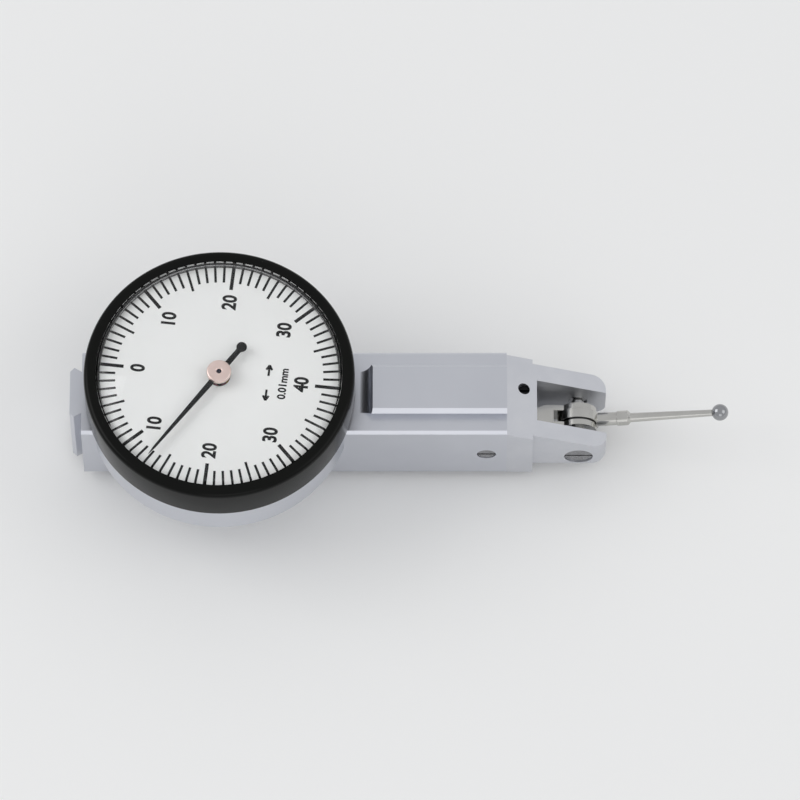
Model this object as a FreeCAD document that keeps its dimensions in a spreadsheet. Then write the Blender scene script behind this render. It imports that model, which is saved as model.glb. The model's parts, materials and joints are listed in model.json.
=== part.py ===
"""Dial test indicator: a lever-type gauge with a 32 mm bezel and a swivelling ball stylus.

Frame: origin under the dial's axis on the face of the lower dovetail rail, +X along the bar
towards the stylus, +Z out of the dial.  Millimetres throughout.
"""
import FreeCAD, Part
import math
import os
import re
import Sketcher
from FreeCAD import Rotation, Vector

DOC = FreeCAD.newDocument("dial_test_indicator")

# ---------------------------------------------------------------------------------------
# Driving dimensions
# ---------------------------------------------------------------------------------------
SIZES = {
    # bar with a dovetail rail on three sides
    "bar_width": 10.7,
    "bar_height": 11.2,
    "bar_front": 34.0,
    "bar_rear_reach": 0.4,
    "bar_edge_chamfer": 0.35,
    "dovetail_width": 6.4,
    "dovetail_height": 1.4,
    "dovetail_flank": 60,
    "dovetail_chamfer": 0.5,
    "top_rail_gap": 2.1,
    "low_rail_back": 12.0,
    "runout_radius": 1.6,
    "channel_width": 7.0,
    "channel_break": 0.6,
    "channel_floor_wall": 0.9,
    "channel_back": 7.0,
    # round case that carries the dial
    "case_inset": 0.4,
    "case_height": 5.3,
    "case_floor": 2.8,
    "case_wall": 1.3,
    "case_edge_chamfer": 0.8,
    "neck_height": 2.5,
    "case_rise": 0.3,
    # bezel, dial and crystal
    "bezel_radius": 16.0,
    "bezel_wall": 1.0,
    "bezel_height": 5.2,
    "bezel_gap": 0.1,
    "bezel_rounding": 0.7,
    "lip_width": 1.45,
    "lip_height": 0.35,
    "running_gap": 0.05,
    "spring_wire": 0.28,
    "spring_height": 1.2,
    "spring_opening": 40,
    "dial_thickness": 0.4,
    "dial_hole": 1.3,
    "dial_depth": 1.2,
    "gasket_height": 0.2,
    "gasket_width": 0.45,
    "ring_height": 0.7,
    "ring_width": 1.05,
    "notch_width": 1.6,
    "crystal_flange": 0.6,
    "crystal_flange_height": 0.62,
    "crystal_rise": 2.7,
    "crystal_wall_rise": 0.35,
    "crystal_thickness": 1.2,
    # nose with its fork
    "nose_collar": 3.1,
    "nose_length": 11.9,
    "nose_step": 0.7,
    "nose_slope": 23,
    "nose_side_inset": 0.1,
    "fork_inset": 0.55,
    "fork_arm": 2.1,
    "fork_root": 0.5,
    "fork_tip_radius": 1.7,
    "fork_tip_land": 0.4,
    "spigot_length": 5.0,
    "spigot_gap": 0.03,
    "spigot_wall": 1.0,
    "set_screw_radius": 0.7,
    "set_screw_x": 36.05,
    "set_screw_y": 1.2,
    "set_screw_depth": 1.4,
    # pivot of the lever and the stylus
    "pivot_x": 42.6,
    "pivot_height": 4.6,
    "bearing_radius": 1.5,
    "bearing_width": 1.0,
    "bearing_bore": 0.6,
    "bearing_lip": 0.2,
    "plug_radius": 1.7,
    "plug_recess": 0.15,
    "shaft_radius": 0.75,
    "fit_gap": 0.02,
    # stylus
    "hub_radius": 2.5,
    "hub_thickness": 1.2,
    "hub_neck_radius": 0.8,
    "hub_neck_end": 4.7,
    "stylus_tilt": 8,
    "stylus_length": 17.0,
    "ball_radius": 1.0,
    "collar_radius": 0.9,
    "collar_length": 1.6,
    "rod_root_radius": 0.56,
    "rod_tip_radius": 0.4,
    "thread_radius": 0.45,
    # measuring lever
    "washer_thickness": 0.1,
    "washer_radius": 1.9,
    "jaw_thickness": 0.7,
    "jaw_radius": 2.2,
    "lever_width": 2.0,
    "lever_root_height": 2.6,
    "lever_tail_height": 1.8,
    "lever_tail": 34.6,
    "lever_yoke": 3.0,
    # gear train
    "arbor_drop": 4.0,
    "sector_teeth": 448,
    "sector_kept_teeth": 8,
    "sector_thickness": 0.5,
    "sector_overlap": 4.2,
    "sector_screw": 0.35,
    "sector_screw_margin": 0.9,
    "sector_screw_pitch": 2.0,
    "pinion_teeth": 14,
    "pinion_face": 1.4,
    "pinion_centre": 1.25,
    "crown_teeth": 50,
    "crown_radius": 3.5,
    "crown_tooth_width": 0.44,
    "crown_rim": 0.9,
    "crown_web": 0.35,
    "crown_hub_radius": 1.0,
    "crown_spokes": 4,
    "crown_spoke_half": 0.35,
    "centre_pinion_teeth": 12,
    "tooth_addendum": 0.8,
    "tooth_dedendum": 1.05,
    "tooth_thinning": 0.8,
    "tooth_sink": 0.1,
    "shake": 0.2,
    "arbor_radius": 0.45,
    "pivot_radius": 0.2,
    "jewel_radius": 0.8,
    "jewel_thickness": 0.5,
    # movement frame
    "plate_thickness": 1.0,
    "plate_gap": 0.2,
    "plate_bore": 1.3,
    "cheek_gap": 0.4,
    "cheek_thickness": 0.7,
    "cheek_half_width": 2.0,
    "cheek_drop": 2.0,
    "cock_thickness": 0.8,
    "cock_gap": 0.35,
    "cock_half_width": 0.8,
    "cock_screw": 0.25,
    "foot_jewel": 0.4,
    "pillar_radius": 1.0,
    "pillar_height": 2.8,
    "pillar_margin": 3.95,
    "bridge_thickness": 0.8,
    "bridge_hub": 2.6,
    "bridge_arm": 2.4,
    "screw_shank": 0.5,
    "screw_head": 0.9,
    "screw_head_height": 0.5,
    "screw_slot": 0.25,
    "screw_depth": 1.6,
    "plate_screw_margin": 2.05,
    "nose_screw_x": 31.6,
    "nose_screw_head": 1.1,
    # centre arbor and pointer
    "centre_radius": 0.4,
    "arbor_end_gap": 0.15,
    "pointer_pin": 0.25,
    "pointer_height": 0.85,
    "pointer_thickness": 0.15,
    "pointer_tip_gap": 1.25,
    "pointer_root": 0.3,
    "pointer_tip": 0.1,
    "pointer_tail": 4.3,
    "tail_disc": 0.52,
    "pointer_angle": 232,
    "pointer_hub_radius": 1.45,
    "pointer_hub_height": 0.55,
    "hub_stem": 0.7,
    "hub_rounding": 0.25,
    "hairspring_turns": 5,
    "hairspring_steps": 24,
    "hairspring_inner": 1.15,
    "hairspring_outer": 4.4,
    "hairspring_strip": 0.1,
    "hairspring_width": 0.4,
    "hairspring_rise": 1.0,
    "collet_radius": 1.05,
    "stud_radius": 0.45,
}

SHEET = DOC.addObject("Spreadsheet::Sheet", "Sizes")
for row, (alias, number) in enumerate(SIZES.items(), start=1):
    SHEET.set(f"A{row}", alias)
    SHEET.set(f"B{row}", str(number))
    SHEET.setAlias(f"B{row}", alias)
DOC.recompute()

# ---------------------------------------------------------------------------------------
# Levels and places worked out from the driving dimensions, as expressions
# ---------------------------------------------------------------------------------------
SHOULDER_LOW = "dovetail_height"
SHOULDER_HIGH = f"({SHOULDER_LOW} + bar_height)"
RAIL_TOP = f"({SHOULDER_HIGH} + dovetail_height)"
NECK_HALF = ("(dovetail_width / 2 - (dovetail_height - dovetail_chamfer)"
             " / tan(dovetail_flank))")
BAR_REAR = "(bezel_radius + bar_rear_reach)"
TOP_RAIL_START = "(bezel_radius + top_rail_gap)"
CASE_RADIUS = "(bezel_radius - case_inset)"
LIP_RADIUS = "(bezel_radius - lip_width)"
CHANNEL_FLOOR = f"({SHOULDER_LOW} + channel_floor_wall)"
CASE_TOP = f"({SHOULDER_HIGH} + case_rise)"
CASE_BOTTOM = f"({CASE_TOP} - case_height)"
CASE_FLOOR = f"({CASE_BOTTOM} + case_floor)"
CHANNEL_ROOF = f"({CASE_FLOOR} + channel_break)"
CHANNEL_MIDDLE = f"(({CHANNEL_FLOOR} + {CHANNEL_ROOF}) / 2)"
ARBOR_HEIGHT = f"({CASE_FLOOR} - arbor_drop)"
NECK_TOP = f"({CASE_TOP} + neck_height)"
BEZEL_BOTTOM = f"({CASE_TOP} + bezel_gap)"
BEZEL_TOP = f"({BEZEL_BOTTOM} + bezel_height)"
BEZEL_BORE = "(bezel_radius - bezel_wall)"
NECK_RADIUS = f"({BEZEL_BORE} - running_gap)"
PAN_RADIUS = f"({NECK_RADIUS} - case_wall)"
DIAL_FACE = f"({BEZEL_TOP} - dial_depth)"
DIAL_BACK = f"({DIAL_FACE} - dial_thickness)"
LIP_BOTTOM = f"({BEZEL_TOP} - lip_height)"
SPRING_LEVEL = f"({CASE_TOP} + spring_height)"
NOSE_TOP = f"({SHOULDER_HIGH} - nose_step)"
NOSE_TIP = "(bar_front + nose_length)"
SLOT_ROOT = "(bar_front + nose_collar + fork_root)"
FORK_WIDTH = "(bar_width - 2 * nose_side_inset - 2 * fork_inset)"
FORK_SLOT = f"({FORK_WIDTH} - 2 * fork_arm)"
FORK_TIP = "min(fork_tip_radius; fork_arm - fork_tip_land)"
LEAN = f"(atan(({ARBOR_HEIGHT} - pivot_height) / pivot_x))"
REACH = f"sqrt(pivot_x ^ 2 + ({ARBOR_HEIGHT} - pivot_height) ^ 2)"
MODULE = f"(2 * {REACH} / (sector_teeth + pinion_teeth))"
PLATE_TOP = f"({CASE_FLOOR} + plate_thickness)"
PILLAR_TOP = f"({PLATE_TOP} + pillar_height)"
BRIDGE_TOP = f"({PILLAR_TOP} + bridge_thickness)"
CHEEK_OUTER = "(channel_width / 2 - cheek_gap)"
CHEEK_INNER = f"({CHEEK_OUTER} - cheek_thickness)"
COCK_BOTTOM = f"({ARBOR_HEIGHT} + {MODULE} * (pinion_teeth / 2 + tooth_addendum) + cock_gap)"
COCK_TOP = f"({COCK_BOTTOM} + cock_thickness)"
CENTRE_PITCH = "(crown_radius * centre_pinion_teeth / crown_teeth)"
POINTER_LEVEL = f"({DIAL_FACE} + pointer_height)"
JAW_INNER = "(hub_thickness / 2 + fit_gap + washer_thickness)"
PLATE_RADIUS = f"({PAN_RADIUS} - plate_gap)"
PILLAR_CIRCLE = f"({PLATE_RADIUS} - pillar_margin)"
PLATE_SCREW_CIRCLE = f"({PLATE_RADIUS} - plate_screw_margin)"
POINTER_LENGTH = f"({LIP_RADIUS} - pointer_tip_gap)"
COCK_MIDDLE = f"({COCK_BOTTOM} + cock_thickness / 2)"
PINION_LOW = f"({COCK_TOP} + shake)"
PINION_HIGH = f"({ARBOR_HEIGHT} + crown_radius + crown_tooth_width / 2 + tooth_sink)"
HUB_LOW = f"({POINTER_LEVEL} + pointer_thickness)"
HUB_TOP = f"({HUB_LOW} + pointer_hub_height)"
SECTOR_SCREWS = ("sector_screw_margin - lever_tail",
                 "sector_screw_margin + sector_screw_pitch - lever_tail")

ALIAS = re.compile(r"\b(" + "|".join(sorted(SIZES, key=len, reverse=True)) + r")\b")


def bound(expression):
    """The expression with each alias written as a reference to the sheet."""
    return ALIAS.sub(r"Sizes.\1", str(expression))


def value(expression):
    """The number that an expression gives with the sheet as it stands."""
    return float(SHEET.evalExpression(bound(expression)))


# ---------------------------------------------------------------------------------------
# Helpers for sketches, features and primitives
# ---------------------------------------------------------------------------------------
TURN = {"X": Rotation(Vector(0, 1, 0), 90), "Y": Rotation(Vector(1, 0, 0), -90), "Z": Rotation()}


def place(thing, x="0", y="0", z="0", rotation=None, angle=None):
    """Bind the placement: base from expressions, a fixed rotation, and a bound angle."""
    if rotation is not None:
        thing.Placement = FreeCAD.Placement(Vector(), rotation)
    for axis, expression in zip("xyz", (x, y, z)):
        thing.setExpression(f"Placement.Base.{axis}", bound(expression))
    if angle is not None:
        thing.setExpression("Placement.Rotation.Angle", bound(angle))
    return thing


def new_body(label):
    """An empty body with the node's name."""
    body = DOC.addObject("PartDesign::Body", label)
    body.Label = label
    return body


def sketch(body, name, plane, offset="0"):
    """A sketch on one of the body's own origin planes, moved along its normal."""
    result = body.newObject("Sketcher::SketchObject", name)
    support = next(f for f in body.Origin.OriginFeatures if f.Role == f"{plane}_Plane")
    result.AttachmentSupport = [(support, "")]
    result.MapMode = "FlatFace"
    result.setExpression("AttachmentOffset.Base.z", bound(offset))
    return result


def fix_point(target, geometry, point, x, y):
    """Hold one point of a sketch at bound coordinates."""
    for kind, expression in (("DistanceX", x), ("DistanceY", y)):
        rule = Sketcher.Constraint(kind, -1, 1, geometry, point, value(expression))
        index = target.addConstraint(rule)
        target.setExpression(f"Constraints[{index}]", bound(expression))


def outline(target, points, arcs=None):
    """A closed outline through points; arcs maps a side's number to (centre x, bulge).

    The height of an arc's centre follows from its two ends.  Bulge is +1 for a
    counter-clockwise arc and -1 for a clockwise one.
    """
    arcs = arcs or {}
    first = target.GeometryCount
    corners = [Vector(value(x), value(y), 0) for x, y in points]
    count = len(points)
    for side in range(count):
        start = corners[side]
        end = corners[(side + 1) % count]
        if side not in arcs:
            target.addGeometry(Part.LineSegment(start, end))
            continue
        centre_x, bulge = value(arcs[side][0]), arcs[side][1]
        middle = (start + end) * 0.5
        chord = end - start
        centre_y = middle.y - (centre_x - middle.x) * chord.x / chord.y
        centre = Vector(centre_x, centre_y, 0)
        circle = Part.Circle(centre, Vector(0, 0, 1), (start - centre).Length)
        angles = [math.atan2(p.y - centre.y, p.x - centre.x) for p in (start, end)]
        if bulge < 0:
            angles.reverse()
        target.addGeometry(Part.ArcOfCircle(circle, *angles))
    ends = {}
    for side in range(count):
        clockwise = side in arcs and arcs[side][1] < 0
        ends[side] = (2, 1) if clockwise else (1, 2)
    for side in range(count):
        after = (side + 1) % count
        joint = Sketcher.Constraint("Coincident", first + side, ends[side][1],
                                    first + after, ends[after][0])
        target.addConstraint(joint)
    for side, (x, y) in enumerate(points):
        fix_point(target, first + side, ends[side][0], x, y)
    for side, (centre_x, _) in arcs.items():
        rule = Sketcher.Constraint("DistanceX", -1, 1, first + side, 3, value(centre_x))
        index = target.addConstraint(rule)
        target.setExpression(f"Constraints[{index}]", bound(centre_x))
    return target


def rectangle(target, left, right, low, high):
    """A closed rectangle between bound sides."""
    return outline(target, [(left, low), (right, low), (right, high), (left, high)])


def circle(target, x, y, radius):
    """A circle with bound centre and radius."""
    shape = Part.Circle(Vector(value(x), value(y), 0), Vector(0, 0, 1), value(radius))
    geometry = target.addGeometry(shape)
    fix_point(target, geometry, 3, x, y)
    index = target.addConstraint(Sketcher.Constraint("Radius", geometry, value(radius)))
    target.setExpression(f"Constraints[{index}]", bound(radius))
    return target


def extrude(body, kind, profile, length, reverse=False, both=False):
    """A pad or pocket of bound length; both centres it on the sketch."""
    feature = body.newObject(f"PartDesign::{kind}", f"{profile.Name}_{kind.lower()}")
    feature.Profile = profile
    feature.setExpression("Length", bound(length))
    feature.Reversed = reverse
    if both:
        feature.SideType = "Symmetric"
    body.Tip = feature
    return feature


def pad(body, profile, length, reverse=False, both=False):
    """Add material."""
    return extrude(body, "Pad", profile, length, reverse, both)


def pocket(body, profile, length, reverse=False, both=False):
    """Take material away."""
    return extrude(body, "Pocket", profile, length, reverse, both)


def revolve(body, profile, kind="Revolution", angle="360"):
    """Turn a profile in the XZ plane about the Z axis."""
    feature = body.newObject(f"PartDesign::{kind}", f"{profile.Name}_{kind.lower()}")
    feature.Profile = profile
    feature.ReferenceAxis = (profile, ["V_Axis"])
    feature.setExpression("Angle", bound(angle))
    body.Tip = feature
    return feature


def turned(label, points, arcs=None):
    """A turned piece from its (radius, height) profile."""
    body = new_body(label)
    profile = outline(sketch(body, f"{label}_profile", "XZ"), points, arcs)
    revolve(body, profile)
    return body


def ring_profile(inner, outer, low, high):
    """The profile points of a plain ring or disc."""
    return [(inner, low), (outer, low), (outer, high), (inner, high)]


def dress(body, kind, size, chosen, name):
    """A fillet or chamfer on the edges that chosen picks from the body's shape."""
    DOC.recompute()
    base = body.Tip
    picked = [f"Edge{i}" for i, edge in enumerate(base.Shape.Edges, start=1) if chosen(edge)]
    feature = body.newObject(f"PartDesign::{kind}", name)
    feature.Base = (base, picked)
    feature.setExpression("Radius" if kind == "Fillet" else "Size", bound(size))
    body.Tip = feature
    return feature


def polar(body, feature, count):
    """Repeat a feature about the Z axis."""
    pattern = body.newObject("PartDesign::PolarPattern", f"{feature.Name}_pattern")
    pattern.Originals = [feature]
    axis = next(f for f in body.Origin.OriginFeatures if f.Role == "Z_Axis")
    pattern.Axis = (axis, [""])
    pattern.Angle = 360
    pattern.Occurrences = count
    body.Tip = pattern
    return pattern


def cylinder(name, radius, height, x="0", y="0", z="0", axis="Z"):
    """A cylinder primitive whose axis starts at the given place."""
    result = DOC.addObject("Part::Cylinder", name)
    result.setExpression("Radius", bound(radius))
    result.setExpression("Height", bound(height))
    return place(result, x, y, z, TURN[axis])


def block(name, length, width, height, x="0", y="0", z="0"):
    """A box primitive from its low corner."""
    result = DOC.addObject("Part::Box", name)
    for side, expression in (("Length", length), ("Width", width), ("Height", height)):
        result.setExpression(side, bound(expression))
    return place(result, x, y, z)


def fuse(name, pieces):
    """One solid from several primitives."""
    result = DOC.addObject("Part::MultiFuse", name)
    result.Shapes = pieces
    return result


def cut(name, base, tool):
    """One primitive less another."""
    result = DOC.addObject("Part::Cut", name)
    result.Base = base
    result.Tool = tool
    return result


def group(label, pieces):
    """Equal pieces in one node."""
    result = DOC.addObject("Part::Compound", label)
    result.Label = label
    result.Links = pieces
    return result


def screw(name, head, head_height, shank, length):
    """A slotted cheese-head screw: head from z = 0 upwards, shank below."""
    stem = cylinder(f"{name}_shank", shank, f"{length} + {head_height} / 2", z=f"-({length})")
    cap = cylinder(f"{name}_head", head, head_height)
    slot = block(f"{name}_slot", f"3 * {head}", "screw_slot", f"{head_height}",
                 x=f"-1.5 * {head}", y="-screw_slot / 2", z=f"{head_height} * 0.55")
    return cut(name, fuse(f"{name}_blank", [stem, cap]), slot)


def around(count, radius, turn=0):
    """Bound coordinates of equal places round a circle."""
    places = []
    for step in range(count):
        angle = turn + 360 * step / count
        places.append((f"({radius} * cos({angle}))", f"({radius} * sin({angle}))"))
    return places


PLATE_SCREW_PLACES = around(3, PLATE_SCREW_CIRCLE, 60)
PILLAR_PLACES = around(3, PILLAR_CIRCLE)


def along(edge, axis):
    """True for a straight edge parallel to an axis."""
    if edge.Curve.TypeId != "Part::GeomLine":
        return False
    return abs(abs(edge.Curve.Direction.dot(axis)) - 1) < 1e-6


# ---------------------------------------------------------------------------------------
# Body frame: bar, three dovetail rails and round case
# ---------------------------------------------------------------------------------------
def dovetail(face, edge, neck, sink):
    """Dovetail section: chamfered face, widest edge and neck, sunk a little into the bar."""
    flat = "(dovetail_width / 2 - dovetail_chamfer)"
    right = [(flat, face), ("dovetail_width / 2", edge), (NECK_HALF, neck), (NECK_HALF, sink)]
    left = [(f"-{across}", level) for across, level in reversed(right)]
    return right + left


def make_body_frame():
    body = new_body("body_frame")
    section = sketch(body, "bar_section", "YZ", f"-{BAR_REAR}")
    rectangle(section, "-bar_width / 2", "bar_width / 2", SHOULDER_LOW, SHOULDER_HIGH)
    pad(body, section, f"{BAR_REAR} + bar_front")
    x_axis = Vector(1, 0, 0)
    dress(body, "Chamfer", "bar_edge_chamfer", lambda edge: along(edge, x_axis), "bar_chamfers")

    sunk = "0.4"
    low_rail = sketch(body, "low_rail_section", "YZ", "-low_rail_back")
    outline(low_rail, dovetail("0", "dovetail_chamfer", SHOULDER_LOW,
                               f"{SHOULDER_LOW} + {sunk}"))
    pad(body, low_rail, "low_rail_back + bar_front")
    top_rail = sketch(body, "top_rail_section", "YZ", f"{TOP_RAIL_START} - runout_radius")
    outline(top_rail, dovetail(RAIL_TOP, f"{RAIL_TOP} - dovetail_chamfer", SHOULDER_HIGH,
                               f"{SHOULDER_HIGH} - {sunk}"))
    pad(body, top_rail, f"bar_front - {TOP_RAIL_START} + runout_radius")
    rear_rail = sketch(body, "rear_rail_section", "XY", SHOULDER_LOW)
    rear_face = f"(-{BAR_REAR} - dovetail_height)"
    rear = dovetail(rear_face, f"{rear_face} + dovetail_chamfer", f"-{BAR_REAR}",
                    f"-{BAR_REAR} + {sunk}")
    outline(rear_rail, [(depth, across) for across, depth in rear])
    pad(body, rear_rail, "bar_height")

    runout = sketch(body, "rail_runout", "XZ")
    outline(runout, [(f"{TOP_RAIL_START} - runout_radius", SHOULDER_HIGH),
                     (TOP_RAIL_START, f"{RAIL_TOP}"),
                     (TOP_RAIL_START, f"{RAIL_TOP} + 1"),
                     (f"{TOP_RAIL_START} - runout_radius - 1", f"{RAIL_TOP} + 1"),
                     (f"{TOP_RAIL_START} - runout_radius - 1", SHOULDER_HIGH)],
            {0: (f"{TOP_RAIL_START} - runout_radius", 1)})
    pocket(body, runout, "bar_width", both=True)

    case = circle(sketch(body, "case_round", "XY", CASE_BOTTOM), "0", "0", CASE_RADIUS)
    pad(body, case, "case_height")
    case_low = value(CASE_BOTTOM)
    dress(body, "Chamfer", "case_edge_chamfer",
          lambda edge: edge.Curve.TypeId == "Part::GeomCircle"
          and abs(edge.BoundBox.ZMax - case_low) < 1e-4
          and abs(edge.Curve.Radius - value(CASE_RADIUS)) < 1e-4, "case_chamfer")
    neck = circle(sketch(body, "case_neck", "XY", CASE_TOP), "0", "0", NECK_RADIUS)
    pad(body, neck, "neck_height")
    pan = circle(sketch(body, "case_pan", "XY", CASE_FLOOR), "0", "0", PAN_RADIUS)
    pocket(body, pan, f"{NECK_TOP} - {CASE_FLOOR} + 1", reverse=True)
    channel = sketch(body, "lever_channel", "YZ", "-channel_back")
    rectangle(channel, "-channel_width / 2", "channel_width / 2", CHANNEL_FLOOR, CHANNEL_ROOF)
    pocket(body, channel, "bar_front + channel_back + 1", reverse=True)
    groove = sketch(body, "spring_groove", "XZ")
    rectangle(groove, f"{NECK_RADIUS} - spring_wire - fit_gap", f"{NECK_RADIUS} + 1",
              f"{SPRING_LEVEL} - spring_wire - fit_gap", f"{SPRING_LEVEL} + spring_wire + fit_gap")
    revolve(body, groove, "Groove")

    holes = sketch(body, "plate_screw_holes", "XY", CASE_FLOOR)
    for x, y in PLATE_SCREW_PLACES:
        circle(holes, x, y, "screw_shank + fit_gap")
    pocket(body, holes, f"screw_depth - plate_thickness + 0.8")
    side = sketch(body, "nose_screw_holes", "XZ")
    circle(side, "nose_screw_x", CHANNEL_MIDDLE, "screw_shank + fit_gap")
    pocket(body, side, "bar_width + 1", both=True)
    seats = sketch(body, "nose_screw_seats", "XZ", "bar_width / 2 - screw_head_height")
    circle(seats, "nose_screw_x", CHANNEL_MIDDLE, "nose_screw_head + fit_gap")
    pocket(body, seats, "1", reverse=True)
    far = sketch(body, "nose_screw_far_seats", "XZ", "-bar_width / 2 + screw_head_height")
    circle(far, "nose_screw_x", CHANNEL_MIDDLE, "nose_screw_head + fit_gap")
    pocket(body, far, "1")
    return body


# ---------------------------------------------------------------------------------------
# Nose: collar, sloping fork and spigot
# ---------------------------------------------------------------------------------------
def make_nose():
    body = new_body("nose_fork")
    half = "(bar_width / 2 - nose_side_inset)"
    drop = "nose_length * tan(nose_slope)"
    side = sketch(body, "nose_side", "XZ")
    outline(side, [("bar_front", SHOULDER_LOW),
                   (f"{NOSE_TIP} - fork_tip_radius", SHOULDER_LOW),
                   (NOSE_TIP, f"{SHOULDER_LOW} + fork_tip_radius"),
                   (NOSE_TIP, f"{NOSE_TOP} - {drop}"),
                   ("bar_front", NOSE_TOP)],
            {1: (f"{NOSE_TIP} - fork_tip_radius", 1)})
    pad(body, side, f"2 * {half}", both=True)
    spigot = sketch(body, "spigot_section", "YZ", "bar_front - spigot_length")
    inset = "spigot_gap"
    rectangle(spigot, f"-channel_width / 2 + {inset}", f"channel_width / 2 - {inset}",
              f"{CHANNEL_FLOOR} + {inset}", f"{CHANNEL_ROOF} - {inset}")
    pad(body, spigot, "spigot_length + 1")
    for name, sign in (("near_cheek", "-"), ("far_cheek", "")):
        cheek = sketch(body, name, "XY", "0")
        outer = f"{sign}({half} + 1)"
        inner = f"{sign}{FORK_WIDTH} / 2"
        tip = f"{NOSE_TIP} + 1"
        outline(cheek, [("bar_front + nose_collar", inner), (tip, inner), (tip, outer),
                        ("bar_front + nose_collar", outer)])
        pocket(body, cheek, "bar_height * 3", both=True)
    slot = sketch(body, "fork_slot_plan", "XY", "0")
    rectangle(slot, SLOT_ROOT, f"{NOSE_TIP} + 1", f"-{FORK_SLOT} / 2", f"{FORK_SLOT} / 2")
    pocket(body, slot, "bar_height * 3", both=True)
    window = sketch(body, "lever_window", "YZ", "bar_front - spigot_length - 1")
    rectangle(window, "-channel_width / 2 + spigot_wall", "channel_width / 2 - spigot_wall",
              f"{CHANNEL_FLOOR} + spigot_wall", f"{NOSE_TOP} - nose_collar")
    pocket(body, window, "spigot_length + nose_collar + 3", reverse=True)
    bores = sketch(body, "bearing_lips", "XZ")
    circle(bores, "pivot_x", "pivot_height", "bearing_radius - bearing_lip * 2")
    pocket(body, bores, "bar_width + 1", both=True)
    for name, sign, back in (("near", "", True), ("far", "-", False)):
        seat = sketch(body, f"{name}_bearing_seat", "XZ", f"{sign}({FORK_SLOT} / 2 + bearing_lip)")
        circle(seat, "pivot_x", "pivot_height", "bearing_radius + fit_gap / 2")
        pocket(body, seat, "bar_width / 2", reverse=back)
        plug = f"{sign}({FORK_SLOT} / 2 + bearing_lip + bearing_width)"
        thread = sketch(body, f"{name}_plug_thread", "XZ", plug)
        circle(thread, "pivot_x", "pivot_height", "plug_radius")
        pocket(body, thread, "bar_width / 2", reverse=back)
    drill = circle(sketch(body, "set_screw_hole", "XY", f"{NOSE_TOP} - set_screw_depth - 1"),
                   "set_screw_x", "set_screw_y", "set_screw_radius")
    pocket(body, drill, "5", reverse=True)
    side_holes = sketch(body, "nose_clamp_holes", "XZ")
    circle(side_holes, "nose_screw_x", CHANNEL_MIDDLE, "screw_shank + fit_gap")
    pocket(body, side_holes, "bar_width + 1", both=True)
    z_axis = Vector(0, 0, 1)
    tip_x = value(NOSE_TIP)
    outer_y = value(FORK_WIDTH) / 2
    dress(body, "Fillet", FORK_TIP,
          lambda edge: along(edge, z_axis) and abs(edge.BoundBox.XMax - tip_x) < 1e-4
          and abs(abs(edge.BoundBox.YMax) - outer_y) < 1e-3, "fork_tip_rounding")
    return body


# ---------------------------------------------------------------------------------------
# Bezel, crystal, gasket, dial and the ring that holds them
# ---------------------------------------------------------------------------------------
def make_bezel():
    groove = "(spring_wire + fit_gap * 3)"
    body = turned("bezel", [
        (BEZEL_BORE, f"{BEZEL_BOTTOM} + 0.2"), (f"{BEZEL_BORE} + 0.2", BEZEL_BOTTOM),
        ("bezel_radius - 0.3", BEZEL_BOTTOM), ("bezel_radius", f"{BEZEL_BOTTOM} + 0.3"),
        ("bezel_radius", f"{BEZEL_TOP} - bezel_rounding"),
        ("bezel_radius - bezel_rounding", BEZEL_TOP), (f"{LIP_RADIUS} + 0.15", BEZEL_TOP),
        (LIP_RADIUS, f"{BEZEL_TOP} - 0.15"), (LIP_RADIUS, LIP_BOTTOM),
        (BEZEL_BORE, LIP_BOTTOM), (BEZEL_BORE, f"{SPRING_LEVEL} + {groove}"),
        (f"{NECK_RADIUS} + {groove}", f"{SPRING_LEVEL} + {groove}"),
        (f"{NECK_RADIUS} + {groove}", f"{SPRING_LEVEL} - {groove}"),
        (BEZEL_BORE, f"{SPRING_LEVEL} - {groove}")],
        {4: ("bezel_radius - bezel_rounding", 1)})
    return body


def make_crystal():
    wall = f"({LIP_RADIUS} - running_gap)"
    flange_low = f"({LIP_BOTTOM} - crystal_flange_height)"
    apex = f"({BEZEL_TOP} + crystal_rise)"
    inner = f"({wall} - 0.9)"
    return turned("crystal", [
        (f"{inner}", flange_low), (f"{BEZEL_BORE} - running_gap", flange_low),
        (f"{BEZEL_BORE} - running_gap", LIP_BOTTOM), (wall, LIP_BOTTOM),
        (wall, f"{BEZEL_TOP} + crystal_wall_rise"), ("0", apex),
        ("0", f"{apex} - crystal_thickness"), (inner, f"{BEZEL_TOP} - 0.05")],
        {4: ("0", 1), 6: ("0", -1)})


def make_gasket():
    top = f"({LIP_BOTTOM} - crystal_flange_height)"
    outer = f"({BEZEL_BORE} - running_gap)"
    return turned("crystal_gasket",
                  ring_profile(f"{outer} - gasket_width", outer, DIAL_FACE, top))


def make_dial():
    outer = f"({BEZEL_BORE} - running_gap * 2)"
    return turned("dial_plate", ring_profile("dial_hole", outer, DIAL_BACK, DIAL_FACE))


def make_dial_ring():
    outer = f"({BEZEL_BORE} - running_gap)"
    low = f"({DIAL_BACK} - ring_height)"
    body = turned("dial_ring", ring_profile(f"{outer} - ring_width", outer, low, DIAL_BACK))
    notch = sketch(body, "spanner_notch", "XY", low)
    rectangle(notch, f"{outer} - ring_width - 1", f"{outer} - ring_width / 2",
              "-notch_width / 2", "notch_width / 2")
    feature = pocket(body, notch, "ring_height / 2", reverse=True)
    polar(body, feature, 2)
    return body


def make_spring_ring():
    body = new_body("bezel_spring_ring")
    profile = rectangle(sketch(body, "wire_section", "XZ"),
                        f"{NECK_RADIUS} - spring_wire", f"{NECK_RADIUS} + spring_wire",
                        f"{SPRING_LEVEL} - spring_wire", f"{SPRING_LEVEL} + spring_wire")
    revolve(body, profile, angle="360 - spring_opening")
    return body


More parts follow.
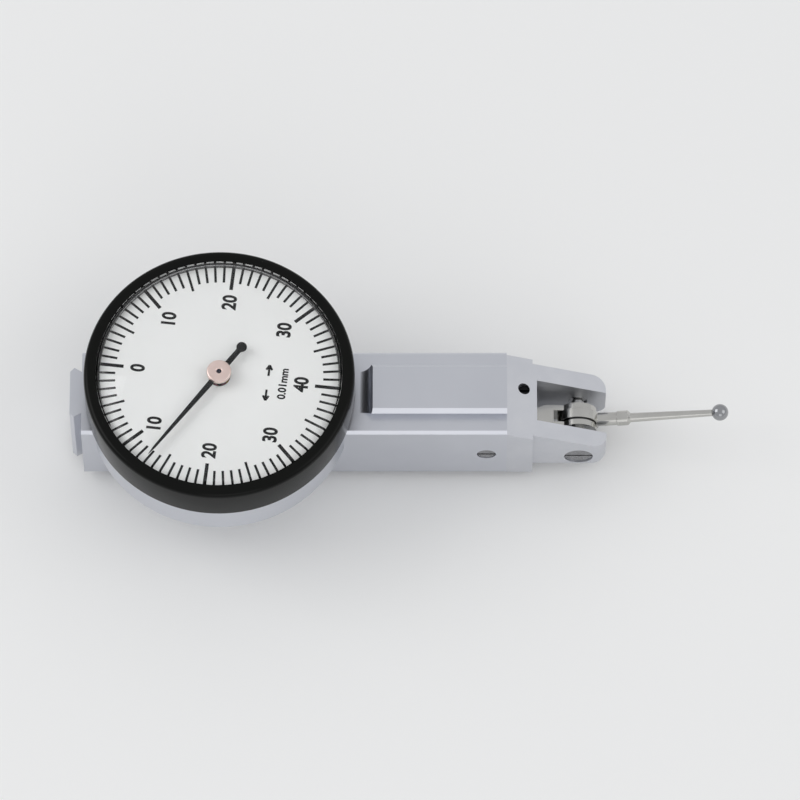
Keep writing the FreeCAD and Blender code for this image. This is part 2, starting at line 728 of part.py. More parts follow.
# ---------------------------------------------------------------------------------------
# Lever pivot and stylus
# ---------------------------------------------------------------------------------------
def make_bearings():
    rings = []
    for name, y in (("near", f"-({FORK_SLOT} / 2 + bearing_lip + bearing_width)"),
                    ("far", f"({FORK_SLOT} / 2 + bearing_lip)")):
        where = {"x": "pivot_x", "z": "pivot_height", "axis": "Y"}
        outer = cylinder(f"{name}_race", "bearing_radius", "bearing_width", y=y, **where)
        inner = cylinder(f"{name}_bore", "bearing_bore", "bearing_width + 2", y=f"{y} - 1", **where)
        rings.append(cut(f"{name}_bearing", outer, inner))
    return group("pivot_bearings", rings)


def make_bearing_plugs():
    plugs = []
    length = f"({FORK_WIDTH} / 2 - {FORK_SLOT} / 2 - bearing_lip - bearing_width - plug_recess)"
    for name, turn in (("near", 90), ("far", -90)):
        disc = cylinder(f"{name}_plug_disc", "plug_radius - fit_gap", length)
        slot = block(f"{name}_plug_slot", "4 * plug_radius", "screw_slot", "0.4",
                     x="-2 * plug_radius", y="-screw_slot / 2", z=f"{length} - 0.4")
        plug = cut(f"{name}_plug", disc, slot)
        sign = "-" if name == "near" else ""
        place(plug, "pivot_x", f"{sign}({FORK_SLOT} / 2 + bearing_lip + bearing_width)",
              "pivot_height", Rotation(Vector(1, 0, 0), turn))
        plugs.append(plug)
    return group("bearing_plugs", plugs)


def make_pivot_shaft():
    end = f"({FORK_SLOT} / 2 + bearing_lip + bearing_width - 0.1)"
    middle = f"({FORK_SLOT} / 2 - 0.1)"
    thin = "(bearing_bore - fit_gap)"
    body = turned("pivot_shaft", [("0", f"-{end}"), (thin, f"-{end}"), (thin, f"-{middle}"),
                                  ("shaft_radius", f"-{middle}"), ("shaft_radius", middle),
                                  (thin, middle), (thin, end), ("0", end)])
    return place(body, "pivot_x", "0", "pivot_height", TURN["Y"])


def make_washers():
    washers = []
    for name, y in (("near", f"-({JAW_INNER})"), ("far", "(hub_thickness / 2 + fit_gap)")):
        where = {"x": "pivot_x", "z": "pivot_height", "axis": "Y"}
        disc = cylinder(f"{name}_washer_disc", "washer_radius", "washer_thickness", y=y, **where)
        hole = cylinder(f"{name}_washer_hole", "shaft_radius + fit_gap", "2", y=f"{y} - 1", **where)
        washers.append(cut(f"{name}_washer", disc, hole))
    return group("friction_washers", washers)


def make_stylus_hub():
    body = new_body("stylus_hub")
    disc = circle(sketch(body, "hub_disc", "XZ"), "0", "0", "hub_radius")
    pad(body, disc, "hub_thickness", both=True)
    neck = circle(sketch(body, "hub_neck", "YZ", "hub_radius - 0.2"), "0", "0", "hub_neck_radius")
    pad(body, neck, "hub_neck_end - hub_radius + 0.2")
    bore = circle(sketch(body, "hub_bore", "XZ"), "0", "0", "shaft_radius + fit_gap")
    pocket(body, bore, "hub_thickness + 1", both=True)
    thread = circle(sketch(body, "hub_thread", "YZ", "hub_radius - 0.9"), "0", "0",
                    "thread_radius + fit_gap")
    pocket(body, thread, "hub_neck_end", reverse=True)
    return place(body, "pivot_x", "0", "pivot_height", Rotation(Vector(0, -1, 0), 8), "stylus_tilt")


def make_stylus_shank():
    collar_end = "(hub_neck_end + collar_length)"
    ball_seat = "(stylus_length - sqrt(ball_radius ^ 2 - rod_tip_radius ^ 2))"
    body = turned("stylus_shank", [
        ("0", "hub_radius - 0.7"), ("thread_radius", "hub_radius - 0.7"),
        ("thread_radius", "hub_neck_end"), ("collar_radius", "hub_neck_end"),
        ("collar_radius", f"{collar_end} - 0.3"), ("rod_root_radius", collar_end),
        ("rod_tip_radius", ball_seat), ("0", f"{ball_seat}")])
    flats = sketch(body, "spanner_flats", "XZ", "collar_radius - 0.15")
    rectangle(flats, "-2 * collar_radius", "2 * collar_radius", "hub_neck_end + 0.3",
              f"{collar_end} - 0.3")
    feature = pocket(body, flats, "1", reverse=True)
    polar(body, feature, 2)
    aim = Rotation(Vector(0, 1, 0), 90)
    return place(body, "pivot_x", "0", "pivot_height", aim, "90 - stylus_tilt")


def make_stylus_ball():
    ball = DOC.addObject("Part::Sphere", "stylus_ball_sphere")
    ball.setExpression("Radius", bound("ball_radius"))
    centre = ("pivot_x + stylus_length * cos(stylus_tilt)", "0",
              "pivot_height + stylus_length * sin(stylus_tilt)")
    place(ball, *centre, Rotation(Vector(0, 1, 0), 90), "90 - stylus_tilt")
    seat = "(stylus_length - sqrt(ball_radius ^ 2 - rod_tip_radius ^ 2))"
    rod = cylinder("stylus_rod_seat", "rod_tip_radius", "ball_radius / 2")
    place(rod, f"pivot_x + ({seat} - ball_radius / 2) * cos(stylus_tilt)", "0",
          f"pivot_height + ({seat} - ball_radius / 2) * sin(stylus_tilt)",
          Rotation(Vector(0, 1, 0), 90), "90 - stylus_tilt")
    result = cut("stylus_ball", ball, rod)
    result.Label = "stylus_ball"
    return result


# ---------------------------------------------------------------------------------------
# Measuring lever and its toothed sector
# ---------------------------------------------------------------------------------------
def make_lever():
    """Built along -X from the pivot, then leaned onto the line of centres."""
    body = new_body("measuring_lever")
    jaws = circle(sketch(body, "jaw_round", "XZ"), "0", "0", "jaw_radius")
    outer = f"({JAW_INNER} + jaw_thickness)"
    pad(body, jaws, f"2 * {outer}", both=True)
    arm = sketch(body, "lever_arm", "XZ")
    outline(arm, [("-lever_tail", "-lever_tail_height / 2"),
                  ("-lever_yoke - 4", "-lever_root_height / 2"), ("0", "-lever_root_height / 2"),
                  ("0", "lever_root_height / 2"), ("-lever_yoke - 4", "lever_root_height / 2"),
                  ("-lever_tail", "lever_tail_height / 2")])
    pad(body, arm, f"2 * {outer}", both=True)
    for name, sign in (("near_waist", "-"), ("far_waist", "")):
        waist = sketch(body, name, "XY", "0")
        inner = f"{sign}lever_width / 2"
        wide = f"{sign}({outer} + 1)"
        outline(waist, [("-lever_tail - 1", inner), ("-lever_yoke - 2", inner),
                        ("-lever_yoke - 1", f"{sign}{outer}"), ("-lever_yoke - 1", wide),
                        ("-lever_tail - 1", wide)])
        pocket(body, waist, "3 * jaw_radius", both=True)
    gap = sketch(body, "jaw_gap", "XY", "0")
    rectangle(gap, "-lever_yoke", "jaw_radius + 1", f"-{JAW_INNER}", JAW_INNER)
    pocket(body, gap, "3 * jaw_radius", both=True)
    bore = circle(sketch(body, "shaft_bore", "XZ"), "0", "0", "shaft_radius")
    pocket(body, bore, f"2 * {outer} + 1", both=True)
    holes = sketch(body, "sector_screw_holes", "XZ")
    for x in SECTOR_SCREWS:
        circle(holes, x, "0", "sector_screw")
    pocket(body, holes, "lever_width + 1", both=True)
    return place(body, "pivot_x", "0", "pivot_height", Rotation(Vector(0, 1, 0), 2), LEAN)


def tooth_outline(teeth, module, centre_angle):
    """One tooth's outline from root to root, symmetrical about the angle of its middle.

    The flank is the involute of the base circle: at radius r its half angle is the half
    angle at the pitch circle plus inv(pitch) less inv(r), with inv(a) = tan(a) - a.
    """
    pitch = module * teeth / 2
    tip = pitch + module * value("tooth_addendum")
    root = pitch - module * value("tooth_dedendum")
    pressure = math.radians(20)
    base = pitch * math.cos(pressure)
    half = math.pi / (2 * teeth) * value("tooth_thinning")

    def half_angle(radius):
        angle = math.acos(min(1.0, base / radius))
        spread = (math.tan(pressure) - pressure) - (math.tan(angle) - angle)
        return half + spread

    radii = [root, max(base, root), pitch, tip]
    flank = [(radius, half_angle(max(radius, base))) for radius in radii]
    flank = [pair for index, pair in enumerate(flank) if index == 0 or pair[0] > flank[index - 1][0]]
    right = [(radius, centre_angle - angle) for radius, angle in flank]
    left = [(radius, centre_angle + angle) for radius, angle in reversed(flank)]
    return [Vector(r * math.cos(a), r * math.sin(a), 0) for r, a in right + left]


def gear_face(teeth, module, turn=0.0):
    """A full gear's face in the XY plane with its first tooth at the angle turn."""
    points = []
    for tooth in range(teeth):
        points += tooth_outline(teeth, module, turn + 2 * math.pi * tooth / teeth)
    return Part.Face(Part.makePolygon(points + points[:1]))


def feature(label, shape, placement=None):
    """A node whose shape is worked out with Part's own functions."""
    result = DOC.addObject("Part::Feature", label)
    result.Label = label
    result.Shape = shape
    result.Placement = placement or FreeCAD.Placement()
    return result


def pivot_placement():
    """The lever's local frame: -X runs from the pivot to the first arbor, Y stays level."""
    base = Vector(value("pivot_x"), 0, value("pivot_height"))
    return FreeCAD.Placement(base, Rotation(Vector(0, 1, 0), value(LEAN)))


def make_sector():
    """A rim of teeth on the lever's tail: a slice of a very large gear about the pivot."""
    teeth = int(value("sector_teeth"))
    module = value(MODULE)
    kept = int(value("sector_kept_teeth"))
    pitch_angle = 2 * math.pi / teeth
    points = []
    for tooth in range(kept + 1):
        centre = math.pi + pitch_angle * (tooth - kept / 2)
        points += tooth_outline(teeth, module, centre)
    root = module * (teeth / 2 - value("tooth_dedendum"))
    heel = root - value("sector_overlap")
    spread = pitch_angle * (kept / 2 + 0.5)
    waist = value("lever_tail_height") / 2
    rim = root - 1.0
    low, high = math.pi + spread, math.pi - spread
    points.append(Vector(root * math.cos(low), root * math.sin(low), 0))
    points.append(Vector(rim * math.cos(low), rim * math.sin(low), 0))
    points += [Vector(-heel, -waist, 0), Vector(-heel, waist, 0)]
    points.append(Vector(rim * math.cos(high), rim * math.sin(high), 0))
    points.append(Vector(root * math.cos(high), root * math.sin(high), 0))
    plate = Part.Face(Part.makePolygon(points + points[:1]))
    thickness = value("sector_thickness")
    solid = plate.extrude(Vector(0, 0, thickness))
    for x in SECTOR_SCREWS:
        hole = Part.makeCylinder(value("sector_screw"), thickness + 2, Vector(value(x), 0, -1))
        solid = solid.cut(hole)
    beside = FreeCAD.Placement(Vector(0, value("lever_width") / 2, 0), TURN["Y"])
    return feature("sector_gear", solid, pivot_placement().multiply(beside))


def make_sector_screws():
    screws = []
    for number, x in enumerate(SECTOR_SCREWS, start=1):
        name = f"sector_screw_{number}"
        item = screw(name, "sector_screw * 1.8", "0.3", "sector_screw - fit_gap",
                     "sector_thickness + lever_width * 0.6")
        lean = pivot_placement()
        spot = lean.multVec(Vector(value(x), value("lever_width / 2 + sector_thickness"), 0))
        item.Placement = FreeCAD.Placement(spot, lean.Rotation.multiply(TURN["Y"]))
        item.setExpression("Placement.Base.x", bound(f"pivot_x + ({x}) * cos({LEAN})"))
        item.setExpression("Placement.Base.y", bound("lever_width / 2 + sector_thickness"))
        item.setExpression("Placement.Base.z", bound(f"pivot_height - ({x}) * sin({LEAN})"))
        screws.append(item)
    return group("sector_screws", screws)


# ---------------------------------------------------------------------------------------
# First arbor (across the bar) with pinion and crown wheel
# ---------------------------------------------------------------------------------------
def make_arbor():
    """Arbor along Y with its pinion cut in one piece; a tooth gap faces the pivot."""
    teeth = int(value("pinion_teeth"))
    lean = math.radians(value(LEAN))
    facing = lean + math.pi / teeth
    pinion = gear_face(teeth, value(MODULE), facing).extrude(Vector(0, 0, value("pinion_face")))
    pinion.translate(Vector(0, 0, value("pinion_centre - pinion_face / 2")))
    inner = value(f"{CHEEK_INNER} - 0.1")
    outer = value(f"{CHEEK_OUTER}")
    shaft = Part.makeCylinder(value("arbor_radius"), 2 * inner, Vector(0, 0, -inner))
    pivots = Part.makeCylinder(value("pivot_radius"), 2 * outer, Vector(0, 0, -outer))
    solid = pinion.fuse([shaft, pivots]).removeSplitter()
    placement = FreeCAD.Placement(Vector(0, 0, value(ARBOR_HEIGHT)), TURN["Y"])
    return feature("cross_arbor", solid, placement)


def crown_tooth(radius, module, root, face, half_width, angle):
    """One crown-wheel tooth: a rack profile between two cylinders, swept as a loft inward."""
    tilt = math.tan(math.radians(20))
    half = math.pi * module / 4 * value("tooth_thinning")
    rise = module * value("tooth_addendum")
    sink = value("tooth_sink")
    wires = []
    for spot in (radius - half_width, radius + half_width):
        scale = spot / radius
        low = (half + (face - root) * tilt) * scale
        high = (half - rise * tilt) * scale
        points = [Vector(-low, spot, root - sink), Vector(low, spot, root - sink),
                  Vector(low, spot, root), Vector(high, spot, face + rise),
                  Vector(-high, spot, face + rise), Vector(-low, spot, root)]
        wires.append(Part.makePolygon(points + points[:1]))
    tooth = Part.makeLoft(wires, True, True)
    tooth.rotate(Vector(), Vector(0, 0, 1), angle)
    return tooth


def make_crown_wheel():
    """Wheel about Z in its own frame with teeth towards +Z, then turned to face +Y."""
    teeth = int(value("crown_teeth"))
    radius = value("crown_radius")
    module = 2 * radius / teeth
    face = -value(CENTRE_PITCH)
    root = face - module * value("tooth_dedendum")
    half_width = value("crown_tooth_width") / 2
    back = root - value("crown_rim")
    web = value("crown_web")
    outer = radius + half_width
    inner = radius - half_width - value("tooth_sink")
    hub = value("crown_hub_radius")
    rim = Part.makeCylinder(outer, root - back, Vector(0, 0, back))
    rim = rim.cut(Part.makeCylinder(inner, root - back, Vector(0, 0, back + web)))
    boss = Part.makeCylinder(hub, root - back + value("shake"), Vector(0, 0, back))
    windows = []
    spokes = int(value("crown_spokes"))
    gap = value("crown_spoke_half")
    core = Part.makeCylinder(hub + gap, 3 * outer, Vector(0, 0, back - outer))
    for spoke in range(spokes):
        start = Vector(0, 0, back - outer)
        window = Part.makeCylinder(inner - gap, 2 * outer, start, Vector(0, 0, 1), 360 / spokes)
        window = window.cut(core)
        for turn in (0, 360 / spokes):
            bar = Part.makeBox(2 * outer, 2 * gap, 3 * outer, Vector(0, -gap, back - outer))
            bar.rotate(Vector(), Vector(0, 0, 1), turn)
            window = window.cut(bar)
        window.rotate(Vector(), Vector(0, 0, 1), 360 / spokes * spoke)
        windows.append(window)
    ring = [crown_tooth(radius, module, root, face, half_width, 360 / teeth * step)
            for step in range(teeth)]
    solid = rim.fuse([boss]).cut(Part.makeCompound(windows))
    solid = solid.fuse(ring)
    bore = Part.makeCylinder(value("arbor_radius"), 2 * outer, Vector(0, 0, back - outer))
    solid = solid.cut(bore).removeSplitter()
    placement = FreeCAD.Placement(Vector(0, 0, value(ARBOR_HEIGHT)), Rotation(Vector(1, 0, 0), -90))
    return feature("crown_wheel", solid, placement)


def make_arbor_jewels():
    rings = []
    depth = "(cheek_thickness - jewel_thickness) / 2"
    for name, y in (("near", f"-({CHEEK_OUTER} - {depth})"), ("far", f"({CHEEK_INNER} + {depth})")):
        where = {"z": ARBOR_HEIGHT, "axis": "Y"}
        disc = cylinder(f"{name}_jewel_disc", "jewel_radius - fit_gap / 2", "jewel_thickness",
                        y=y, **where)
        hole = cylinder(f"{name}_jewel_hole", "pivot_radius + fit_gap", "2", y=f"{y} - 1", **where)
        rings.append(cut(f"{name}_jewel", disc, hole))
    return group("arbor_jewels", rings)


# ---------------------------------------------------------------------------------------
# Movement frame, cock, pillars and bridge
# ---------------------------------------------------------------------------------------
def make_movement_frame():
    """Round plate on the case floor with two cheeks that hang into the bar."""
    body = new_body("movement_frame")
    plate = circle(sketch(body, "plate_round", "XY", CASE_FLOOR), "0", "0", PLATE_RADIUS)
    pad(body, plate, "plate_thickness")
    for name, near, far in (("near_hanger", f"-{CHEEK_OUTER}", f"-{CHEEK_INNER}"),
                            ("far_hanger", CHEEK_INNER, CHEEK_OUTER)):
        hanger = sketch(body, name, "XY", CASE_FLOOR)
        rectangle(hanger, "-cheek_half_width", "cheek_half_width", near, far)
        pad(body, hanger, "arbor_drop + cheek_drop", reverse=True)
    seats = circle(sketch(body, "jewel_seats", "XZ"), "0", ARBOR_HEIGHT, "jewel_radius")
    pocket(body, seats, "channel_width", both=True)
    centre = circle(sketch(body, "plate_bore_round", "XY", CASE_FLOOR), "0", "0", "plate_bore")
    pocket(body, centre, "plate_thickness + 1", reverse=True)
    holes = sketch(body, "frame_screw_holes", "XY", CASE_FLOOR)
    for x, y in PLATE_SCREW_PLACES:
        circle(holes, x, y, "screw_shank + fit_gap")
    pocket(body, holes, "plate_thickness + 1", reverse=True)
    cock = circle(sketch(body, "cock_screw_hole", "XZ"), "0", COCK_MIDDLE, "cock_screw + fit_gap")
    pocket(body, cock, "channel_width")
    return body


def make_cock():
    """Small bar from the far cheek to the dial's axis; it holds the centre arbor's foot."""
    body = new_body("centre_cock")
    plan = sketch(body, "cock_plan", "XY", COCK_BOTTOM)
    outline(plan, [("-cock_half_width", CHEEK_INNER), ("-cock_half_width", "0"),
                   ("-0.35", "-0.5"), ("0.35", "-0.5"),
                   ("cock_half_width", "0"), ("cock_half_width", CHEEK_INNER)])
    pad(body, plan, "cock_thickness")
    foot = circle(sketch(body, "foot_seat", "XY", COCK_BOTTOM), "0", "0", "foot_jewel")
    pocket(body, foot, "cock_thickness + 1", reverse=True)
    tapped = sketch(body, "cock_thread", "XZ", f"-{CHEEK_INNER} - 1")
    circle(tapped, "0", COCK_MIDDLE, "cock_screw")
    pocket(body, tapped, "2.2", reverse=True)
    return body


def make_cock_screw():
    item = screw("cock_screw_item", "cock_screw * 1.8", "0.3", "cock_screw - fit_gap",
                 "cheek_thickness + 0.8")
    place(item, "0", CHEEK_OUTER, COCK_MIDDLE, TURN["Y"])
    return group("cock_screw", [item])


def make_centre_jewels():
    """Foot jewel in the cock and head jewel in the bridge."""
    stones = []
    for name, radius, z, hole in (("foot", "foot_jewel - fit_gap / 2", f"({COCK_BOTTOM} + 0.15)",
                                   "pivot_radius + fit_gap"),
                                  ("head", "jewel_radius - fit_gap / 2", f"({PILLAR_TOP} + 0.15)",
                                   "pointer_pin + fit_gap")):
        disc = cylinder(f"{name}_jewel_disc", radius, "jewel_thickness", z=z)
        bore = cylinder(f"{name}_jewel_bore", hole, "2", z=f"{z} - 1")
        stones.append(cut(f"{name}_stone", disc, bore))
    return group("centre_jewels", stones)


def make_pillars():
    pillars = []
    for number, (x, y) in enumerate(PILLAR_PLACES, start=1):
        post = cylinder(f"pillar_{number}_post", "pillar_radius", "pillar_height", x, y, PLATE_TOP)
        hole = cylinder(f"pillar_{number}_hole", "screw_shank + fit_gap", "3", x, y,
                        f"{PILLAR_TOP} - screw_depth + bridge_thickness - 0.2")
        pillars.append(cut(f"pillar_{number}", post, hole))
    return group("bridge_pillars", pillars)


def make_bridge():
    body = new_body("upper_bridge")
    hub = circle(sketch(body, "bridge_hub_round", "XY", PILLAR_TOP), "0", "0", "bridge_hub")
    pad(body, hub, "bridge_thickness")
    arm = sketch(body, "bridge_arm_plan", "XY", PILLAR_TOP)
    outline(arm, [("0", "-bridge_arm / 2"), (PILLAR_CIRCLE, "-bridge_arm / 2"),
                  (PILLAR_CIRCLE, "bridge_arm / 2"), ("0", "bridge_arm / 2")],
            {1: (PILLAR_CIRCLE, 1)})
    polar(body, pad(body, arm, "bridge_thickness"), 3)
    seat = circle(sketch(body, "head_seat", "XY", PILLAR_TOP), "0", "0", "jewel_radius")
    pocket(body, seat, "bridge_thickness + 1", reverse=True)
    holes = sketch(body, "bridge_screw_holes", "XY", PILLAR_TOP)
    for x, y in PILLAR_PLACES:
        circle(holes, x, y, "screw_shank + fit_gap")
    pocket(body, holes, "bridge_thickness + 1", reverse=True)
    return body


def make_screw_ring(label, places, seat):
    """Equal cheese-head screws standing on one level."""
    items = []
    for number, (x, y) in enumerate(places, start=1):
        item = screw(f"{label}_{number}", "screw_head", "screw_head_height", "screw_shank",
                     "screw_depth")
        items.append(place(item, x, y, seat))
    return group(label, items)


# ---------------------------------------------------------------------------------------
# Centre arbor, hairspring and pointer
# ---------------------------------------------------------------------------------------

def make_centre_arbor():
    """Upright arbor with its pinion; a tooth gap faces the crown wheel at -Y."""
    teeth = int(value("centre_pinion_teeth"))
    module = 2 * value("crown_radius") / value("crown_teeth")
    facing = -math.pi / 2 + math.pi / teeth
    low, high = value(PINION_LOW), value(PINION_HIGH)
    pinion = gear_face(teeth, module, facing).extrude(Vector(0, 0, high - low))
    pinion.translate(Vector(0, 0, low))

    def rod(radius, start, end):
        return Part.makeCylinder(value(radius), value(end) - value(start), Vector(0, 0, value(start)))

    foot = rod("pivot_radius", f"{COCK_BOTTOM} + shake / 2", PINION_LOW)
    stem = rod("centre_radius", PINION_LOW, f"{PILLAR_TOP} - shake / 2")
    pin = rod("pointer_pin", f"{PILLAR_TOP} - shake", f"{HUB_TOP} - arbor_end_gap")
    return feature("centre_arbor", pinion.fuse([foot, stem, pin]).removeSplitter())


def make_collet():
    low = f"({PLATE_TOP} + hairspring_rise - 0.1)"
    return turned("hairspring_collet", ring_profile(
        "centre_radius", "collet_radius", low, f"{low} + hairspring_width + 0.2"))


def make_hairspring():
    """Flat spiral strip: radius grows evenly with angle from the collet to the stud."""
    turns = value("hairspring_turns")
    inner, outer = value("hairspring_inner"), value("hairspring_outer")
    half = value("hairspring_strip") / 2
    steps = int(turns * value("hairspring_steps"))

    def spiral(offset):
        points = []
        for step in range(steps + 1):
            share = step / steps
            radius = inner + (outer - inner) * share + offset
            angle = 2 * math.pi * turns * share
            points.append(Vector(radius * math.cos(angle), radius * math.sin(angle), 0))
        return points

    border = spiral(half) + spiral(-half)[::-1]
    strip = Part.Face(Part.makePolygon(border + border[:1]))
    solid = strip.extrude(Vector(0, 0, value("hairspring_width")))
    level = Vector(0, 0, value(f"{PLATE_TOP} + hairspring_rise"))
    return feature("hairspring", solid, FreeCAD.Placement(level, Rotation()))


def make_stud():
    """Post on the plate; the strip's outer end is pinned in its slot."""
    height = "(hairspring_rise + hairspring_width + 0.3)"
    radius = "(hairspring_outer + stud_radius * 0.4)"
    post = cylinder("stud_post", "stud_radius", height, radius, "stud_radius * 0.6", PLATE_TOP)
    slot = block("stud_slot", "hairspring_strip + 0.1", "2", "2",
                 "hairspring_outer - hairspring_strip / 2 - 0.05", "-1",
                 f"{PLATE_TOP} + hairspring_rise - 0.05")
    result = cut("hairspring_stud", post, slot)
    result.Label = "hairspring_stud"
    return result


def make_pointer():
    """Tapered needle with a round tail, cut from one flat strip."""
    body = new_body("pointer")
    blade = sketch(body, "needle_plan", "XY")
    outline(blade, [("-pointer_tail", "-pointer_root * 0.6"), ("0", "-pointer_root"),
                    (f"{POINTER_LENGTH} - 0.3", "-pointer_tip"), (POINTER_LENGTH, "0"),
                    (f"{POINTER_LENGTH} - 0.3", "pointer_tip"), ("0", "pointer_root"),
                    ("-pointer_tail", "pointer_root * 0.6")])
    pad(body, blade, "pointer_thickness")
    for name, x, radius in (("needle_eye", "0", "hub_stem + 0.35"),
                            ("tail_round", "-pointer_tail", "tail_disc")):
        pad(body, circle(sketch(body, name, "XY"), x, "0", radius), "pointer_thickness")
    hole = circle(sketch(body, "needle_bore", "XY"), "0", "0", "hub_stem")
    pocket(body, hole, "pointer_thickness + 1", both=True)
    return place(body, "0", "0", POINTER_LEVEL, Rotation(Vector(0, 0, 1), 1), "pointer_angle")


def make_pointer_hub():
    low = f"({DIAL_FACE} + shake)"
    return turned("pointer_hub", [
        ("pointer_pin", low), ("hub_stem", low),
        ("hub_stem", HUB_LOW), ("pointer_hub_radius", HUB_LOW),
        ("pointer_hub_radius", f"{HUB_TOP} - hub_rounding"),
        ("pointer_hub_radius - hub_rounding", HUB_TOP),
        ("pointer_pin + 0.18", HUB_TOP), ("pointer_pin", f"{HUB_TOP} - 0.18")])


def make_nose_screws():
    items = []
    for name, sign, turn in (("near", "-", 90), ("far", "", -90)):
        item = screw(f"nose_screw_{name}", "nose_screw_head", "screw_head_height - 0.05",
                     "screw_shank", "2.3")
        place(item, "nose_screw_x", f"{sign}(bar_width / 2 - screw_head_height)", CHANNEL_MIDDLE,
              Rotation(Vector(1, 0, 0), turn))
        items.append(item)
    return group("nose_screws", items)


def make_set_screw():
    """Headless screw sunk in the collar's sloping face."""
    low = f"({NOSE_TOP} - set_screw_depth - 1)"
    disc = cylinder("set_screw_disc", "set_screw_radius - fit_gap", "0.9",
                    "set_screw_x", "set_screw_y", low)
    slot = block("set_screw_slot", "3", "screw_slot", "1", "set_screw_x - 1.5",
                 "set_screw_y - screw_slot / 2", f"{low} + 0.5")
    result = cut("nose_set_screw", disc, slot)
    result.Label = "nose_set_screw"
    return result


def make_all():
    """Every node of the assembly, in the order of its build."""
    return [
        make_body_frame(), make_nose(), make_nose_screws(), make_set_screw(),
        make_bezel(), make_crystal(), make_gasket(), make_dial(), make_dial_ring(),
        make_spring_ring(), make_bearings(), make_bearing_plugs(), make_pivot_shaft(),
        make_washers(), make_stylus_hub(), make_stylus_shank(), make_stylus_ball(),
        make_lever(), make_sector(), make_sector_screws(), make_arbor(), make_crown_wheel(),
        make_arbor_jewels(), make_movement_frame(), make_cock(), make_cock_screw(),
        make_centre_jewels(), make_pillars(), make_bridge(),
        make_screw_ring("plate_screws", PLATE_SCREW_PLACES, PLATE_TOP),
        make_screw_ring("bridge_screws", PILLAR_PLACES, BRIDGE_TOP),
        make_centre_arbor(), make_collet(), make_hairspring(), make_stud(),
        make_pointer(), make_pointer_hub(),
    ]


def write(nodes):
    """Check every object and write one STEP file for each node."""
    DOC.recompute()
    for item in DOC.Objects:
        if {"Invalid", "Error"} & set(item.State):
            raise RuntimeError(f"{item.Name} is {item.State}")
    for node in nodes:
        if node.Shape.isNull() or not node.Shape.isValid():
            raise RuntimeError(f"{node.Label} has no valid shape")
    os.makedirs("parts", exist_ok=True)
    for node in nodes:
        node.Shape.exportStep(f"parts/{node.Label}.step")
        box = node.Shape.BoundBox
        print(f"{node.Label:20s} solids {len(node.Shape.Solids)} volume {node.Shape.Volume:9.3f} "
              f"x {box.XMin:7.2f}..{box.XMax:6.2f} y {box.YMin:6.2f}..{box.YMax:5.2f} "
              f"z {box.ZMin:6.2f}..{box.ZMax:5.2f}")


write(make_all())
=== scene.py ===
"""Looks of a dial test indicator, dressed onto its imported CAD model.

Metres throughout, in the model's own frame: the dial's axis is Z, the bar runs along +X to the
stylus, and the lower rail lies on Z = 0.  Sizes in the classes below are millimetres.
"""
import json
import logging
import math
from dataclasses import dataclass
from enum import Enum

import bmesh
import bpy
import numpy as np
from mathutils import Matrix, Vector

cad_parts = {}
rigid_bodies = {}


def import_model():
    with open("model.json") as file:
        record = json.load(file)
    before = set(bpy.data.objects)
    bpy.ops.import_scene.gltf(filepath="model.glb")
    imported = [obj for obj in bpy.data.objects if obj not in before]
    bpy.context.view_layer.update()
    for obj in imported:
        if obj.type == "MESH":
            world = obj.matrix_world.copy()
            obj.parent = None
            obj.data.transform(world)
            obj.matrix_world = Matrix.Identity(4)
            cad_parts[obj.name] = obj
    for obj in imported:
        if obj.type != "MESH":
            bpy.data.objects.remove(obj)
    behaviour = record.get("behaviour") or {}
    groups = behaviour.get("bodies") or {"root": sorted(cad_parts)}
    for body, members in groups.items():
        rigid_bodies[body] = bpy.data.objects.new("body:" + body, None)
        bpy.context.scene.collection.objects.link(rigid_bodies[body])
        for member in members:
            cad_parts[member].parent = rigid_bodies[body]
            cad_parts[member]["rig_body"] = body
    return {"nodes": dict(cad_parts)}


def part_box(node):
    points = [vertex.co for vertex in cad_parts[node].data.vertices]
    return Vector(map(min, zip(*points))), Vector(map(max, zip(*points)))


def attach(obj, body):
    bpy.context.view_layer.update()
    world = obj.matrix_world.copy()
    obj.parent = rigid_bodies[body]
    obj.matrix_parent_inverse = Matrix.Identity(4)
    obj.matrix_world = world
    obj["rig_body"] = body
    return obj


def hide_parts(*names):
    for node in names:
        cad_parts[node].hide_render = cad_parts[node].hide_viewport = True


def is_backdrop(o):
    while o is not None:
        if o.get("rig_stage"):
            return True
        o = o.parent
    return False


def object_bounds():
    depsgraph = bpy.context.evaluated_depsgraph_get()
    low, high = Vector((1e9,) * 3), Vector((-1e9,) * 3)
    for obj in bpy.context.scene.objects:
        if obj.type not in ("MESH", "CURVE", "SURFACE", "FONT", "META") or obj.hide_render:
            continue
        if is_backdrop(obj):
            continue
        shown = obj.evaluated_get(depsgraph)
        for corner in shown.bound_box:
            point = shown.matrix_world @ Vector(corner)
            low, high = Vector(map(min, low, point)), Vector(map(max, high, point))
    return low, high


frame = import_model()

Array = np.ndarray
Colour = tuple[float, float, float, float]
Tree = bpy.types.NodeTree
Socket = bpy.types.NodeSocket
LOG = logging.getLogger("dial_test_indicator")
MM = 0.001
WELD = 2e-7  # metres: points of a new mesh that lie closer than this become one
CAD_WELD = 1e-7  # metres: the same for a copy of a CAD node
SAME_PLANE = math.radians(0.5)  # faces of a CAD copy within this angle are one flat face
CREASE = 32.0  # degrees: faces that meet at less are shaded as one curve
WAVE_TURN = 20  # radians that a wave texture turns in one unit, so rings lie 2 pi grains apart
CAD_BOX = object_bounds()


def linear(code: str) -> Colour:
    """Turn an sRGB hex colour into linear RGBA.

    Args:
        code: six hex digits after a hash.

    Returns:
        Red, green, blue and an alpha of 1.
    """
    parts = [int(code[start:start + 2], 16) / 255 for start in (1, 3, 5)]
    red, green, blue = (p / 12.92 if p <= 0.04045 else ((p + 0.055) / 1.055) ** 2.4 for p in parts)
    return red, green, blue, 1.0


